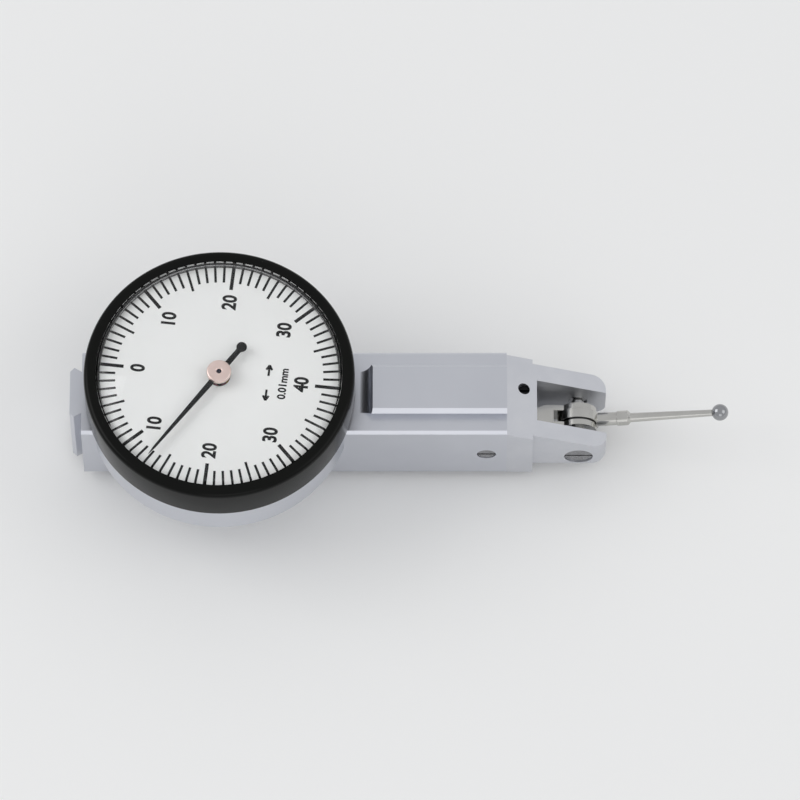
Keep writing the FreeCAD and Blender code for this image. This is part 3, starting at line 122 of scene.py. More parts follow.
def add(tree: Tree, kind: str, inputs: dict, **settings: object) -> bpy.types.Node:
    """Add a shader node, set it and fill its inputs.

    Args:
        tree: the material's node tree.
        kind: the node's type name.
        inputs: input name or number, with a value or the socket that feeds it.
        settings: attributes of the node itself.

    Returns:
        The new node.
    """
    made = tree.nodes.new(kind)
    for name, choice in settings.items():
        setattr(made, name, choice)
    for name, given in inputs.items():
        if isinstance(given, Socket):
            tree.links.new(given, made.inputs[name])
        else:
            made.inputs[name].default_value = given
    return made


# --- finishes ---------------------------------------------------------------------------


class Grain(Enum):
    """How a surface was worked: specks stretched along each axis, or rings about one axis."""

    BLASTED = (1.0, 1.0, 1.0)
    DRAWN = (0.06, 1.0, 1.0)
    UPRIGHT = (1.0, 1.0, 0.06)
    TURNED = "Z"
    TURNED_ACROSS = "Y"


@dataclass(frozen=True)
class Finish:
    """A procedural material, made once and shared by the pieces that carry it."""

    name: str

    def surface(self, tree: Tree, place: Socket) -> Socket:
        """Build the shader.

        Args:
            tree: the material's empty node tree.
            place: Object coordinates in metres.

        Returns:
            The shader's output socket.
        """
        raise NotImplementedError

    def material(self) -> bpy.types.Material:
        """Return the material, made on its first use."""
        found = bpy.data.materials.get(self.name)
        if found:
            return found
        made = bpy.data.materials.new(self.name)
        made.use_nodes = True
        tree = made.node_tree
        tree.nodes.clear()
        place = add(tree, "ShaderNodeTexCoord", {}).outputs["Object"]
        shader = self.surface(tree, place)
        add(tree, "ShaderNodeOutputMaterial", {"Surface": shader})
        return made


@dataclass(frozen=True)
class Worked(Finish):
    """An opaque solid whose tool marks vary its gloss and lift its surface a little."""

    light: str
    dark: str
    roughness: float
    spread: float = 0.06
    grain: Grain = Grain.BLASTED
    grain_mm: float = 0.2
    depth_mm: float = 0.002
    cloud_mm: float = 6.0
    metallic: float = 1.0
    index: float = 1.5

    def marks(self, tree: Tree, place: Socket) -> Socket:
        """Fine marks between 0 and 1.

        Args:
            tree: the material's node tree.
            place: Object coordinates in metres.

        Returns:
            The socket with the marks' height.
        """
        scale = 1 / (self.grain_mm * MM)
        if self.grain in (Grain.TURNED, Grain.TURNED_ACROSS):
            rings = add(tree, "ShaderNodeTexWave",
                        {"Vector": place, "Scale": scale / WAVE_TURN, "Distortion": 1.5,
                         "Detail": 2.0, "Detail Scale": 3.0},
                        wave_type="RINGS", rings_direction=self.grain.value)
            return rings.outputs["Fac"]
        turned = add(tree, "ShaderNodeMapping", {"Vector": place, "Scale": self.grain.value})
        noise = add(tree, "ShaderNodeTexNoise",
                    {"Vector": turned.outputs[0], "Scale": scale, "Detail": 3.0})
        return noise.outputs["Fac"]

    def surface(self, tree: Tree, place: Socket) -> Socket:
        """Build the shader.

        Args:
            tree: the material's empty node tree.
            place: Object coordinates in metres.

        Returns:
            The shader's output socket.
        """
        marks = self.marks(tree, place)
        cloud = add(tree, "ShaderNodeTexNoise",
                    {"Vector": place, "Scale": 1 / (self.cloud_mm * MM), "Detail": 2.0})
        tint = add(tree, "ShaderNodeMix",
                   {0: cloud.outputs["Fac"], 6: linear(self.dark), 7: linear(self.light)},
                   data_type="RGBA")
        gloss = add(tree, "ShaderNodeMapRange",
                    {"Value": marks, "To Min": self.roughness - self.spread,
                     "To Max": self.roughness + self.spread})
        lift = add(tree, "ShaderNodeBump",
                   {"Height": marks, "Strength": 1.0, "Distance": self.depth_mm * MM})
        shader = add(tree, "ShaderNodeBsdfPrincipled",
                     {"Base Color": tint.outputs[2], "Metallic": self.metallic,
                      "Roughness": gloss.outputs[0], "Normal": lift.outputs[0],
                      "IOR": self.index})
        return shader.outputs[0]


@dataclass(frozen=True)
class ClearAcrylic(Finish):
    """Cast acrylic, polished: clear, with a soft mirror at the dome's edge.

    Lamp light passes straight through it, so the dial below is as bright as in the open.
    """

    tint: str = "#FFFFFF"
    index: float = 1.33
    roughness: float = 0.02

    def surface(self, tree: Tree, place: Socket) -> Socket:
        """Build the shader.

        Args:
            tree: the material's empty node tree.
            place: Object coordinates in metres; not used.

        Returns:
            The shader's output socket.
        """
        solid = add(tree, "ShaderNodeBsdfPrincipled",
                    {"Base Color": linear(self.tint), "Roughness": self.roughness,
                     "IOR": self.index, "Transmission Weight": 1.0})
        open_air = add(tree, "ShaderNodeBsdfTransparent", {"Color": linear(self.tint)})
        path = add(tree, "ShaderNodeLightPath", {})
        mixed = add(tree, "ShaderNodeMixShader",
                    {0: path.outputs["Is Shadow Ray"], 1: solid.outputs[0], 2: open_air.outputs[0]})
        return mixed.outputs[0]


@dataclass(frozen=True)
class Ruby(Finish):
    """Synthetic ruby, polished: deep red, and clear enough to glow at its rim."""

    light: str = "#C2183A"
    dark: str = "#8E0F2A"
    cloud_mm: float = 0.8
    roughness: float = 0.06
    index: float = 1.77

    def surface(self, tree: Tree, place: Socket) -> Socket:
        """Build the shader.

        Args:
            tree: the material's empty node tree.
            place: Object coordinates in metres.

        Returns:
            The shader's output socket.
        """
        cloud = add(tree, "ShaderNodeTexNoise",
                    {"Vector": place, "Scale": 1 / (self.cloud_mm * MM)})
        tone = add(tree, "ShaderNodeMix",
                   {0: cloud.outputs["Fac"], 6: linear(self.dark), 7: linear(self.light)},
                   data_type="RGBA")
        shader = add(tree, "ShaderNodeBsdfPrincipled",
                     {"Base Color": tone.outputs[2], "Roughness": self.roughness,
                      "IOR": self.index})
        return shader.outputs[0]


# Marks under about 0.15 mm don't show at the object's size, so each finer grain below is drawn
# at 0.15 mm or more.

# Satin chrome on ground and blasted steel: an even pale grey with a cool cast.  Real blast
# pits are about 0.05 mm; they are drawn at 0.22 mm so that they show.
SATIN_CHROME = Worked("satin_chrome_on_blasted_steel", "#D5D7DD", "#CCCED5", 0.34, 0.05,
                      grain_mm=0.22, depth_mm=0.0016)
# The nose is steel blasted with coarser grit, so it is a shade duller than the bar.
BLASTED_STEEL = Worked("coarse_blasted_nickel_steel", "#DADBDF", "#CBCDD3", 0.42, 0.08,
                       grain_mm=0.3, depth_mm=0.004, cloud_mm=3.0)
# Semi-gloss black lacquer on turned brass: nearly black with a thin bright line on its edges.
# Its index is low, since lacquer of index 1.5 looks grey in a pale room.
BLACK_LACQUER = Worked("black_lacquer_on_turned_brass", "#0B0C0A", "#070806", 0.2, 0.03,
                       Grain.TURNED, grain_mm=0.5, depth_mm=0.0006, metallic=0.0, index=1.22)
# White enamel lacquer sprayed on the dial plate: matt, faintly orange-peeled.
DIAL_ENAMEL = Worked("white_enamel_lacquer_sprayed", "#FAFBFA", "#F6F7F5", 0.5, 0.05,
                     grain_mm=0.5, depth_mm=0.001, metallic=0.0)
# Pad-printed ink: dense black with small dry spots, and hardly any gloss.
PRINTED_INK = Worked("black_pad_printed_ink", "#0B0B0C", "#060607", 0.6, 0.08,
                     grain_mm=0.15, depth_mm=0.0005, cloud_mm=1.0, metallic=0.0, index=1.2)
# Lacquer sprayed on a stamped strip: flat black, with almost no mirror of the room.
POINTER_LACQUER = Worked("black_lacquer_on_stamped_steel", "#070708", "#030304", 0.4, 0.05,
                         grain_mm=0.2, depth_mm=0.0005, cloud_mm=1.0, metallic=0.0, index=1.2)
# Copper-plated hub, turned and lacquered: pale pink metal.
ROSE_HUB = Worked("rose_plated_turned_brass", "#F4DFD8", "#EED3CA", 0.3, 0.06, Grain.TURNED,
                  grain_mm=0.3, depth_mm=0.0008, cloud_mm=1.0)
# Hardened steel, polished on a felt wheel: bright and slightly warm, with fine scratches.
POLISHED_STEEL = Worked("polished_hardened_steel", "#C9C8C4", "#B9B8B4", 0.2, 0.05,
                        grain_mm=0.25, depth_mm=0.0006, cloud_mm=2.0)
# Tungsten carbide, lapped between plates: a dark grey mirror.
BALL_CARBIDE = Worked("lapped_tungsten_carbide", "#A5A6A8", "#98999C", 0.12, 0.02,
                      grain_mm=0.2, depth_mm=0.0002, cloud_mm=1.0)
# Free-cutting steel, turned and oiled: mid grey with a soft shine.
SCREW_STEEL = Worked("turned_screw_steel_oiled", "#9C9C9E", "#838386", 0.28, 0.06,
                     grain_mm=0.2, depth_mm=0.0008, cloud_mm=1.0)
# Steel blackened in a salt bath: charcoal with a dull shine.
BLACK_SCREW = Worked("blackened_set_screw_steel", "#2A2A2C", "#1A1A1C", 0.4, 0.06,
                     grain_mm=0.2, depth_mm=0.0008, cloud_mm=1.0)
# Steel blued over a flame: dark, with a deep blue-violet sheen.
BLUED_STEEL = Worked("flame_blued_steel", "#2A2C40", "#1E1E2B", 0.25, 0.05,
                     grain_mm=0.2, depth_mm=0.0005, cloud_mm=1.0)
# Spring steel, rolled and tempered: even grey, a little darker than the screws' turned faces.
SPRING_STEEL = Worked("tempered_spring_steel", "#8F9096", "#7B7C83", 0.3, 0.05,
                      grain_mm=0.2, depth_mm=0.0005, cloud_mm=1.0)
# Bearing steel, ground: light grey with a clean shine.
BEARING_STEEL = Worked("ground_bearing_steel", "#B6B7BA", "#A7A8AC", 0.22, 0.04,
                       grain_mm=0.2, depth_mm=0.0004, cloud_mm=1.0)
# Rolled brass plate, brushed along its length, with a warm yellow that varies a little.
PLATE_BRASS = Worked("brushed_movement_brass", "#D9B56A", "#C9A256", 0.3, 0.07, Grain.DRAWN,
                     grain_mm=0.2, depth_mm=0.0015, cloud_mm=4.0)
# Hard brass, hobbed: bright yellow with rings about the cross arbor.
GEAR_BRASS = Worked("hobbed_gear_brass", "#E0BE74", "#CFA95E", 0.24, 0.05, Grain.TURNED_ACROSS,
                    grain_mm=0.3, depth_mm=0.0008, cloud_mm=2.0)
# Turned brass rod: yellow, with fine marks.
PILLAR_BRASS = Worked("turned_pillar_brass", "#DDBA70", "#CBA458", 0.26, 0.05, Grain.UPRIGHT,
                      grain_mm=0.2, depth_mm=0.0008, cloud_mm=2.0)
# Drawn bronze strip: smooth and copper-coloured.
SPRING_BRONZE = Worked("drawn_spring_bronze", "#C98F5C", "#B77E4D", 0.24, 0.04, Grain.DRAWN,
                       grain_mm=0.2, depth_mm=0.0004, cloud_mm=1.0)
# Moulded nitrile rubber: dull black with a faint bloom.
NITRILE = Worked("moulded_nitrile_rubber", "#202022", "#171719", 0.72, 0.08,
                 grain_mm=0.25, depth_mm=0.003, cloud_mm=1.0, metallic=0.0)
# Turned aluminium, anodised black: dull, with a soft edge.
BLACK_RING = Worked("black_anodised_ring", "#1C1C1E", "#131315", 0.4, 0.05, Grain.TURNED,
                    grain_mm=0.4, depth_mm=0.0008, metallic=0.0)
# Its index is below cast acrylic's 1.49, so that the print under it stays straight and dark.
ACRYLIC = ClearAcrylic("clear_cast_acrylic")
# Flame-grown ruby, cut and polished: deep red with a bright rim.
RUBY = Ruby("polished_synthetic_ruby")
# Matt studio paper: pale, even and a little rough.
STUDIO_PAPER = Worked("matt_studio_paper", "#F8F8F7", "#F4F4F3", 0.9, 0.03, grain_mm=4.0,
                      depth_mm=0.001, cloud_mm=200.0, metallic=0.0)


# --- meshes -----------------------------------------------------------------------------


def piece(name: str, points: Array, faces: Array, body: str, finish: Finish,
          smooth: float = CREASE) -> bpy.types.Object:
    """Make a finished piece from points and faces and let it ride on a body.

    Doubles at seams and poles are merged and the faces are turned outwards.

    Args:
        name: the piece's name.
        points: vertices in millimetres, one row each.
        faces: vertex numbers, one row for each face.
        body: the body that carries the piece.
        finish: the material.
        smooth: the largest angle in degrees that is still shaded as a curve.

    Returns:
        The new object.
    """
    mesh = bpy.data.meshes.new(name)
    mesh.from_pydata((points * MM).tolist(), [], faces.tolist())
    form = bmesh.new()
    form.from_mesh(mesh)
    bmesh.ops.remove_doubles(form, verts=form.verts, dist=WELD)
    bmesh.ops.recalc_face_normals(form, faces=form.faces)
    form.to_mesh(mesh)
    form.free()
    return place(name, mesh, body, finish, smooth)


def place(name: str, mesh: bpy.types.Mesh, body: str, finish: Finish,
          smooth: float) -> bpy.types.Object:
    """Put a mesh in the scene with its finish, shading and body.

    Args:
        name: the piece's name.
        mesh: its mesh, already at its place.
        body: the body that carries the piece.
        finish: the material.
        smooth: the largest angle in degrees that is still shaded as a curve.

    Returns:
        The new object.
    """
    mesh.polygons.foreach_set("use_smooth", np.ones(len(mesh.polygons), bool))
    mesh.set_sharp_from_angle(angle=math.radians(smooth))
    mesh.materials.clear()
    mesh.materials.append(finish.material())
    made = bpy.data.objects.new(name, mesh)
    bpy.context.scene.collection.objects.link(made)
    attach(made, body)
    LOG.info("%s: %d faces on %s", name, len(mesh.polygons), body)
    return made


def rounded(corners: Array, setback: Array, steps: int = 7) -> Array:
    """Round every corner of a closed profile.

    Each corner P becomes the parabola (1-s)^2 A + 2s(1-s) P + s^2 B, where A and B lie the
    corner's setback before and after P on its two sides.

    Args:
        corners: the profile's corners, one row each.
        setback: how far from its corner each curve starts.
        steps: points on each curve.

    Returns:
        The points of the rounded profile.
    """
    before = np.roll(corners, 1, axis=0) - corners
    after = np.roll(corners, -1, axis=0) - corners
    start = corners + before / np.linalg.norm(before, axis=1, keepdims=True) * setback[:, None]
    end = corners + after / np.linalg.norm(after, axis=1, keepdims=True) * setback[:, None]
    share = np.linspace(0, 1, steps)[None, :, None]
    curve = ((1 - share) ** 2 * start[:, None] + 2 * share * (1 - share) * corners[:, None]
             + share ** 2 * end[:, None])
    return curve.reshape(-1, 2)


def loop_faces(rows: int, columns: int) -> Array:
    """Quads of a grid that is closed both ways.

    Args:
        rows: points along the profile.
        columns: steps round the axis.

    Returns:
        Vertex numbers, four in each row.
    """
    row, column = np.meshgrid(np.arange(rows), np.arange(columns), indexing="ij")
    next_row, next_column = (row + 1) % rows, (column + 1) % columns
    quads = np.stack([row * columns + column, next_row * columns + column,
                      next_row * columns + next_column, row * columns + next_column], axis=-1)
    return quads.reshape(-1, 4)


def lathe(profile: Array, columns: int) -> tuple[Array, Array]:
    """Turn a closed (radius, height) profile about Z.

    Point (u, v) is (r(u) cos v, r(u) sin v, z(u)).

    Args:
        profile: closed profile, one row for each point.
        columns: steps round the axis.

    Returns:
        Vertices and quads.
    """
    turn = np.linspace(0, 2 * np.pi, columns, endpoint=False)[None, :]
    radius, height = profile[:, :1], profile[:, 1:]
    points = np.stack([radius * np.cos(turn), radius * np.sin(turn),
                       height + 0 * turn], axis=-1)
    return points.reshape(-1, 3), loop_faces(len(profile), columns)


def bars(start: Array, end: Array, width: Array, low: float, high: float) -> tuple[Array, Array]:
    """Flat straight bars between pairs of points.

    Corner = end point plus or minus half the width across the bar's direction.

    Args:
        start: first points, one row each.
        end: last points, one row each.
        width: width of each bar.
        low: height of the underside.
        high: height of the top.

    Returns:
        Vertices, eight for each bar, and quads.
    """
    run = (end - start) / np.linalg.norm(end - start, axis=1, keepdims=True)
    side = np.stack([-run[:, 1], run[:, 0]], axis=1) * width[:, None] / 2
    flat = np.stack([start - side, end - side, end + side, start + side], axis=1)
    levels = np.array([low, high])
    points = np.concatenate([np.repeat(flat[:, None], 2, axis=1),
                             np.broadcast_to(levels[None, :, None, None],
                                             (len(flat), 2, 4, 1))], axis=-1)
    cube = np.array([[3, 2, 1, 0], [4, 5, 6, 7], [0, 1, 5, 4], [1, 2, 6, 5], [2, 3, 7, 6],
                     [3, 0, 4, 7]])
    faces = cube[None] + 8 * np.arange(len(flat))[:, None, None]
    return points.reshape(-1, 3), faces.reshape(-1, 4)


def edge_broken(node: str, finish: Finish, break_mm: float) -> bpy.types.Object:
    """Stand in for a CAD node with a merged copy whose sharp edges carry a small bevel.

    Args:
        node: the CAD node.
        finish: the material.
        break_mm: width of the bevel.

    Returns:
        The new object, which replaces the node.
    """
    source = frame["nodes"][node]
    data = source.data
    data.calc_loop_triangles()
    points = np.empty(len(data.vertices) * 3)
    data.vertices.foreach_get("co", points)
    triangles = np.empty(len(data.loop_triangles) * 3, int)
    data.loop_triangles.foreach_get("vertices", triangles)
    mesh = bpy.data.meshes.new(node + "_finished")
    mesh.from_pydata(points.reshape(-1, 3).tolist(), [], triangles.reshape(-1, 3).tolist())
    form = bmesh.new()
    form.from_mesh(mesh)
    bmesh.ops.remove_doubles(form, verts=form.verts, dist=CAD_WELD)
    bmesh.ops.dissolve_limit(form, angle_limit=SAME_PLANE, verts=form.verts, edges=form.edges)
    form.to_mesh(mesh)
    form.free()
    made = place(f"{node}_finished", mesh, source["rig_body"], finish, CREASE)
    bevel = made.modifiers.new("edge_break", "BEVEL")
    bevel.width = break_mm * MM
    bevel.segments = 2
    bevel.limit_method = "ANGLE"
    bevel.angle_limit = math.radians(CREASE)
    bevel.harden_normals = True
    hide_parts(node)
    return made


def refinish(finish: Finish, *nodes: str) -> None:
    """Give CAD nodes that stay as they are their material.

    Args:
        finish: the material.
        nodes: names of the CAD nodes.
    """
    for name in nodes:
        shown = frame["nodes"][name]
        shown.data.materials.clear()
        shown.data.materials.append(finish.material())
        LOG.info("%s keeps its solid and gets %s", name, finish.name)


def low_high(node: str) -> tuple[Array, Array]:
    """Lowest and highest corner of a CAD node in millimetres.

    Args:
        node: the CAD node.

    Returns:
        The two corners.
    """
    low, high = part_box(node)
    return np.array(low) / MM, np.array(high) / MM


# --- sub-assemblies ---------------------------------------------------------------------


@dataclass
class Bar:
    """The bar with its dovetail rails and case, the forked nose, and their screws."""

    bar_break: float = 0.08
    nose_break: float = 0.1
    screw_break: float = 0.05
    slot_width: float = 0.28
    slot_depth: float = 0.2
    slot_wall: float = 0.004
    head_round: float = 0.12
    head_height: float = 0.42
    head_sunk: float = 0.02
    rim_steps: int = 9
    chord_steps: int = 29

    def nose_screw(self, sign: int) -> tuple[Array, Array]:
        """Shape one slotted head on a side of the bar.

        The head is a grid.  Its rows cross the slot at y = r sin t, with one pair at each wall
        of the slot, and a row's points lie at x = sqrt(r^2 - y^2) sin s.  The top falls by the
        slot's depth within its half width, and by the rim's round e - sqrt(e^2 - d^2) within e
        of the edge, where d is the way into the round.

        Args:
            sign: -1 for the near side and 1 for the far side.

        Returns:
            Vertices and quads.
        """
        low, high = low_high("nose_screws")
        centre = (low + high) / 2
        radius = (high[0] - low[0]) / 2
        half = self.slot_width / 2
        rim = np.linspace(-1, -half / radius, self.rim_steps)
        flat = np.concatenate([radius * np.sin(rim * np.pi / 2),
                               [-half, -half + self.slot_wall]])
        across = np.unique(np.concatenate([flat, -flat]))
        share = np.linspace(-1, 1, self.chord_steps)
        chord = np.sqrt(np.clip(radius ** 2 - across ** 2, 0, None))
        side = chord[:, None] * np.sin(share * np.pi / 2)[None, :]
        reach = np.hypot(side, across[:, None])
        into = np.clip(reach - (radius - self.head_round), 0, self.head_round)
        fall = self.head_round - np.sqrt(self.head_round ** 2 - into ** 2)
        cut = np.where(np.abs(across[:, None]) < half - self.slot_wall / 2, self.slot_depth, 0)
        top = self.head_height - np.maximum(fall, cut)
        base = np.zeros_like(top)
        rows, columns = top.shape
        grid = np.arange(rows * columns).reshape(rows, columns)
        quads = np.stack([grid[:-1, :-1], grid[1:, :-1], grid[1:, 1:], grid[:-1, 1:]], axis=-1)
        quads = quads.reshape(-1, 4)
        under = quads[:, ::-1] + rows * columns
        edge = np.concatenate([grid[0], grid[1:, -1], grid[-1, -2::-1], grid[-2:0:-1, 0]])
        after = np.roll(edge, -1)
        wall = np.stack([edge, after, after + rows * columns, edge + rows * columns], axis=1)
        height = np.concatenate([top.ravel(), base.ravel()])
        run = np.tile(side.ravel(), 2)
        rise = np.tile(np.broadcast_to(across[:, None], side.shape).ravel(), 2)
        seat = (high[1] if sign > 0 else -low[1]) - self.head_height - self.head_sunk
        points = np.stack([centre[0] + run, sign * (seat + height), centre[2] + rise], axis=1)
        return points, np.concatenate([quads, under, wall])

    def nose_screws(self) -> None:
        """Make the two slotted heads that show at the bar's sides."""
        near, near_faces = self.nose_screw(-1)
        far, far_faces = self.nose_screw(1)
        made = piece("nose_screws_slotted", np.concatenate([near, far]),
                     np.concatenate([near_faces, far_faces + len(near)]), "frame", SCREW_STEEL,
                     smooth=40)
        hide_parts("nose_screws")

    def build(self) -> None:
        """Make the bar, the nose and the screws."""
        edge_broken("body_frame", SATIN_CHROME, self.bar_break)
        edge_broken("nose_fork", BLASTED_STEEL, self.nose_break)
        edge_broken("nose_set_screw", BLACK_SCREW, self.screw_break)
        self.nose_screws()


@dataclass
class Bezel:
    """The turning bezel with its crystal, gasket and retaining ring."""

    wall: float = 1.0
    lip_width: float = 1.45
    lip_height: float = 0.35
    rounding: float = 0.75
    groove_height: float = 0.7
    groove_depth: float = 0.31
    groove_level: float = 1.1
    bore_chamfer: float = 0.2
    foot_round: float = 0.25
    lip_round: float = 0.12
    lip_under: float = 0.1
    seat_round: float = 0.03
    groove_round: float = 0.05
    columns: int = 240
    crystal_flange: float = 0.62
    crystal_wall: float = 0.3
    crystal_rise: float = 0.35
    dome_start: float = 0.97
    dome_rows: int = 26
    dome_columns: int = 192
    shoulder_drop: float = 0.3

    def bezel(self) -> None:
        """Turn the bezel: wall with the ring's groove, and a thin lip over the crystal."""
        low, high = low_high("bezel")
        outer, bottom, top = high[0], low[2], high[2]
        bore, lip = outer - self.wall, outer - self.lip_width
        middle = bottom + self.groove_level
        deep = bore + self.groove_depth
        half = self.groove_height / 2
        corners = np.array([
            [bore, bottom], [outer, bottom], [outer, top], [lip, top],
            [lip, top - self.lip_height], [bore, top - self.lip_height],
            [bore, middle + half], [deep, middle + half], [deep, middle - half],
            [bore, middle - half]])
        setback = np.array([
            self.bore_chamfer, self.foot_round, self.rounding, self.lip_round, self.lip_under,
            self.seat_round] + [self.groove_round] * 4)
        made = piece("bezel_turned", *lathe(rounded(corners, setback), self.columns),
                     "bezel_group", BLACK_LACQUER)
        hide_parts("bezel")

    def crystal(self) -> None:
        """Turn the crystal: flange, upright wall, chamfered shoulder and a shallow dome.

        The dome's height over radius r is apex - (apex - edge) * (r / wall)^2.
        """
        low, high = low_high("crystal")
        flange, foot, apex = high[0], low[2], high[2]
        wall = flange - (self.lip_width - self.wall)
        shoulder = foot + self.crystal_flange
        edge = low_high("bezel")[1][2] + self.crystal_rise
        share = np.linspace(self.dome_start, 0, self.dome_rows)
        dome = np.stack([wall * share, apex - (apex - edge) * share ** 2], axis=1)
        thick = self.crystal_wall
        inner = np.stack([(wall - thick) * share[::-1],
                          apex - thick - (apex - edge) * share[::-1] ** 2], axis=1)
        brow = edge - self.shoulder_drop
        foot_ring = np.array([[wall - thick, foot], [flange, foot], [flange, shoulder],
                              [wall, shoulder], [wall, brow]])
        profile = np.concatenate([foot_ring, dome, inner, [[wall - thick, brow - thick]]])
        made = piece("crystal_polished", *lathe(profile, self.dome_columns), "bezel_group",
                     ACRYLIC, smooth=50)
        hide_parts("crystal")

    def build(self) -> None:
        """Make the bezel and crystal and finish what they hold."""
        self.bezel()
        self.crystal()
        refinish(NITRILE, "crystal_gasket")
        refinish(BLACK_RING, "dial_ring")


@dataclass
class Dial:
    """The dial face: enamel plate, 80 graduations, numbers, unit and two small arrows."""

    divisions: int = 80
    numbered_every: int = 10
    middle_every: int = 5
    zero_azimuth: float = 173.5
    rim: float = 14.46
    long_line: float = 3.1
    middle_line: float = 2.9
    short_line: float = 2.2
    bold: float = 0.42
    fine: float = 0.29
    ink: float = 0.012
    ink_gap: float = 0.002
    arrow_gap: float = 0.003
    number_radius: float = 9.7
    number_height: float = 1.75
    number_stretch: float = 0.84
    boldness: float = 0.034
    curve_steps: int = 6
    numbers: tuple[str, ...] = ("0", "10", "20", "30", "40", "30", "20", "10")
    unit: str = "0.01mm"
    unit_height: float = 1.0
    unit_stretch: float = 0.95
    unit_spot: tuple[float, float] = (7.5, -1.0)
    arrow_spot: tuple[float, float] = (5.7, -0.85)
    arrow_heel: float = 0.9
    arrow_tip: float = 2.3
    arrow_width: float = 0.26
    barb_length: float = 0.62
    barb_spread: float = 0.34

    def level(self) -> float:
        """Height of the enamel in millimetres."""
        return float(low_high("dial_plate")[1][2])

    def graduations(self) -> None:
        """Print the lines: division k lies at the zero's azimuth less k steps."""
        step = np.arange(self.divisions)
        turn = np.radians(self.zero_azimuth - 360 * step / self.divisions)
        run = np.stack([np.cos(turn), np.sin(turn)], axis=1)
        numbered = step % self.numbered_every == 0
        length = np.where(numbered, self.long_line,
                          np.where(step % self.middle_every == 0, self.middle_line,
                                   self.short_line))
        width = np.where(numbered, self.bold, self.fine)
        low = self.level() + self.ink_gap
        made = piece("dial_graduations",
                     *bars(run * (self.rim - length[:, None]), run * self.rim, width, low,
                           low + self.ink),
                     "bezel_group", PRINTED_INK)

    def lettering(self, name: str, text: str, height: float, stretch: float, centre: Array,
                  turn: float) -> None:
        """Print one line of generic lettering.

        Each point of the flat text is stretched, turned by the angle and moved to its centre.

        Args:
            name: the piece's name.
            text: what it says.
            height: height of its capitals.
            stretch: width as a share of the typeface's own.
            centre: place of its middle in the dial's plane.
            turn: angle in radians from +X to its direction of reading.
        """
        curve = bpy.data.curves.new(name, "FONT")
        curve.body = text
        curve.size = 1.0
        curve.align_x = "CENTER"
        curve.align_y = "CENTER"
        curve.resolution_u = self.curve_steps
        curve.extrude = 0.5  # gives a front and a back, which become the ink's two levels
        curve.offset = self.boldness
        written = bpy.data.objects.new(name, curve)
        bpy.context.scene.collection.objects.link(written)
        bpy.context.view_layer.update()
        mesh = bpy.data.meshes.new_from_object(written)
        bpy.data.objects.remove(written)
        flat = np.empty(len(mesh.vertices) * 3)
        mesh.vertices.foreach_get("co", flat)
        flat = flat.reshape(-1, 3)
        flat[:, :2] -= (flat[:, :2].max(0) + flat[:, :2].min(0)) / 2
        flat[:, :2] *= height / np.ptp(flat[:, 1])
        flat[:, 0] *= stretch
        low = self.level() + self.ink_gap
        cos, sin = math.cos(turn), math.sin(turn)
        placed = np.stack([centre[0] + cos * flat[:, 0] - sin * flat[:, 1],
                           centre[1] + sin * flat[:, 0] + cos * flat[:, 1],
                           np.where(flat[:, 2] > 0, low + self.ink, low)], axis=1)
        mesh.vertices.foreach_set("co", (placed * MM).ravel())
        mesh.update()
        place(name, mesh, "bezel_group", PRINTED_INK, 20)

    def lettered(self) -> None:
        """Print the numbers, upright in the dial's own frame, and the unit."""
        up = math.radians(self.zero_azimuth)
        reading = up - math.pi / 2
        for order, text in enumerate(self.numbers):
            turn = up - 2 * math.pi * order / len(self.numbers)
            centre = self.number_radius * np.array([math.cos(turn), math.sin(turn)])
            self.lettering(f"dial_number_{order}", text, self.number_height,
                           self.number_stretch, centre, reading)
        self.lettering("dial_unit", self.unit, self.unit_height, self.unit_stretch,
                       np.array(self.unit_spot), reading)

    def arrows(self) -> None:
        """Print two small arrows that point apart, each a shaft and two barbs."""
        up = math.radians(self.zero_azimuth)
        along = np.array([math.sin(up), -math.cos(up)])
        across = np.array([-along[1], along[0]])
        middle, spread = np.array(self.arrow_spot), across * self.barb_spread
        starts, ends = [], []
        for way in (along, -along):
            tip = middle + way * self.arrow_tip
            back = tip - way * self.barb_length
            starts += [middle + way * self.arrow_heel, tip, tip]
            ends += [tip, back + spread, back - spread]
        widths = np.full(len(starts), self.arrow_width)
        low = self.level() + self.arrow_gap
        made = piece("dial_arrows", *bars(np.array(starts), np.array(ends), widths, low,
                                          low + self.ink), "bezel_group", PRINTED_INK)

    def build(self) -> None:
        """Finish the plate and print on it."""
        refinish(DIAL_ENAMEL, "dial_plate")
        self.graduations()
        self.lettered()
        self.arrows()


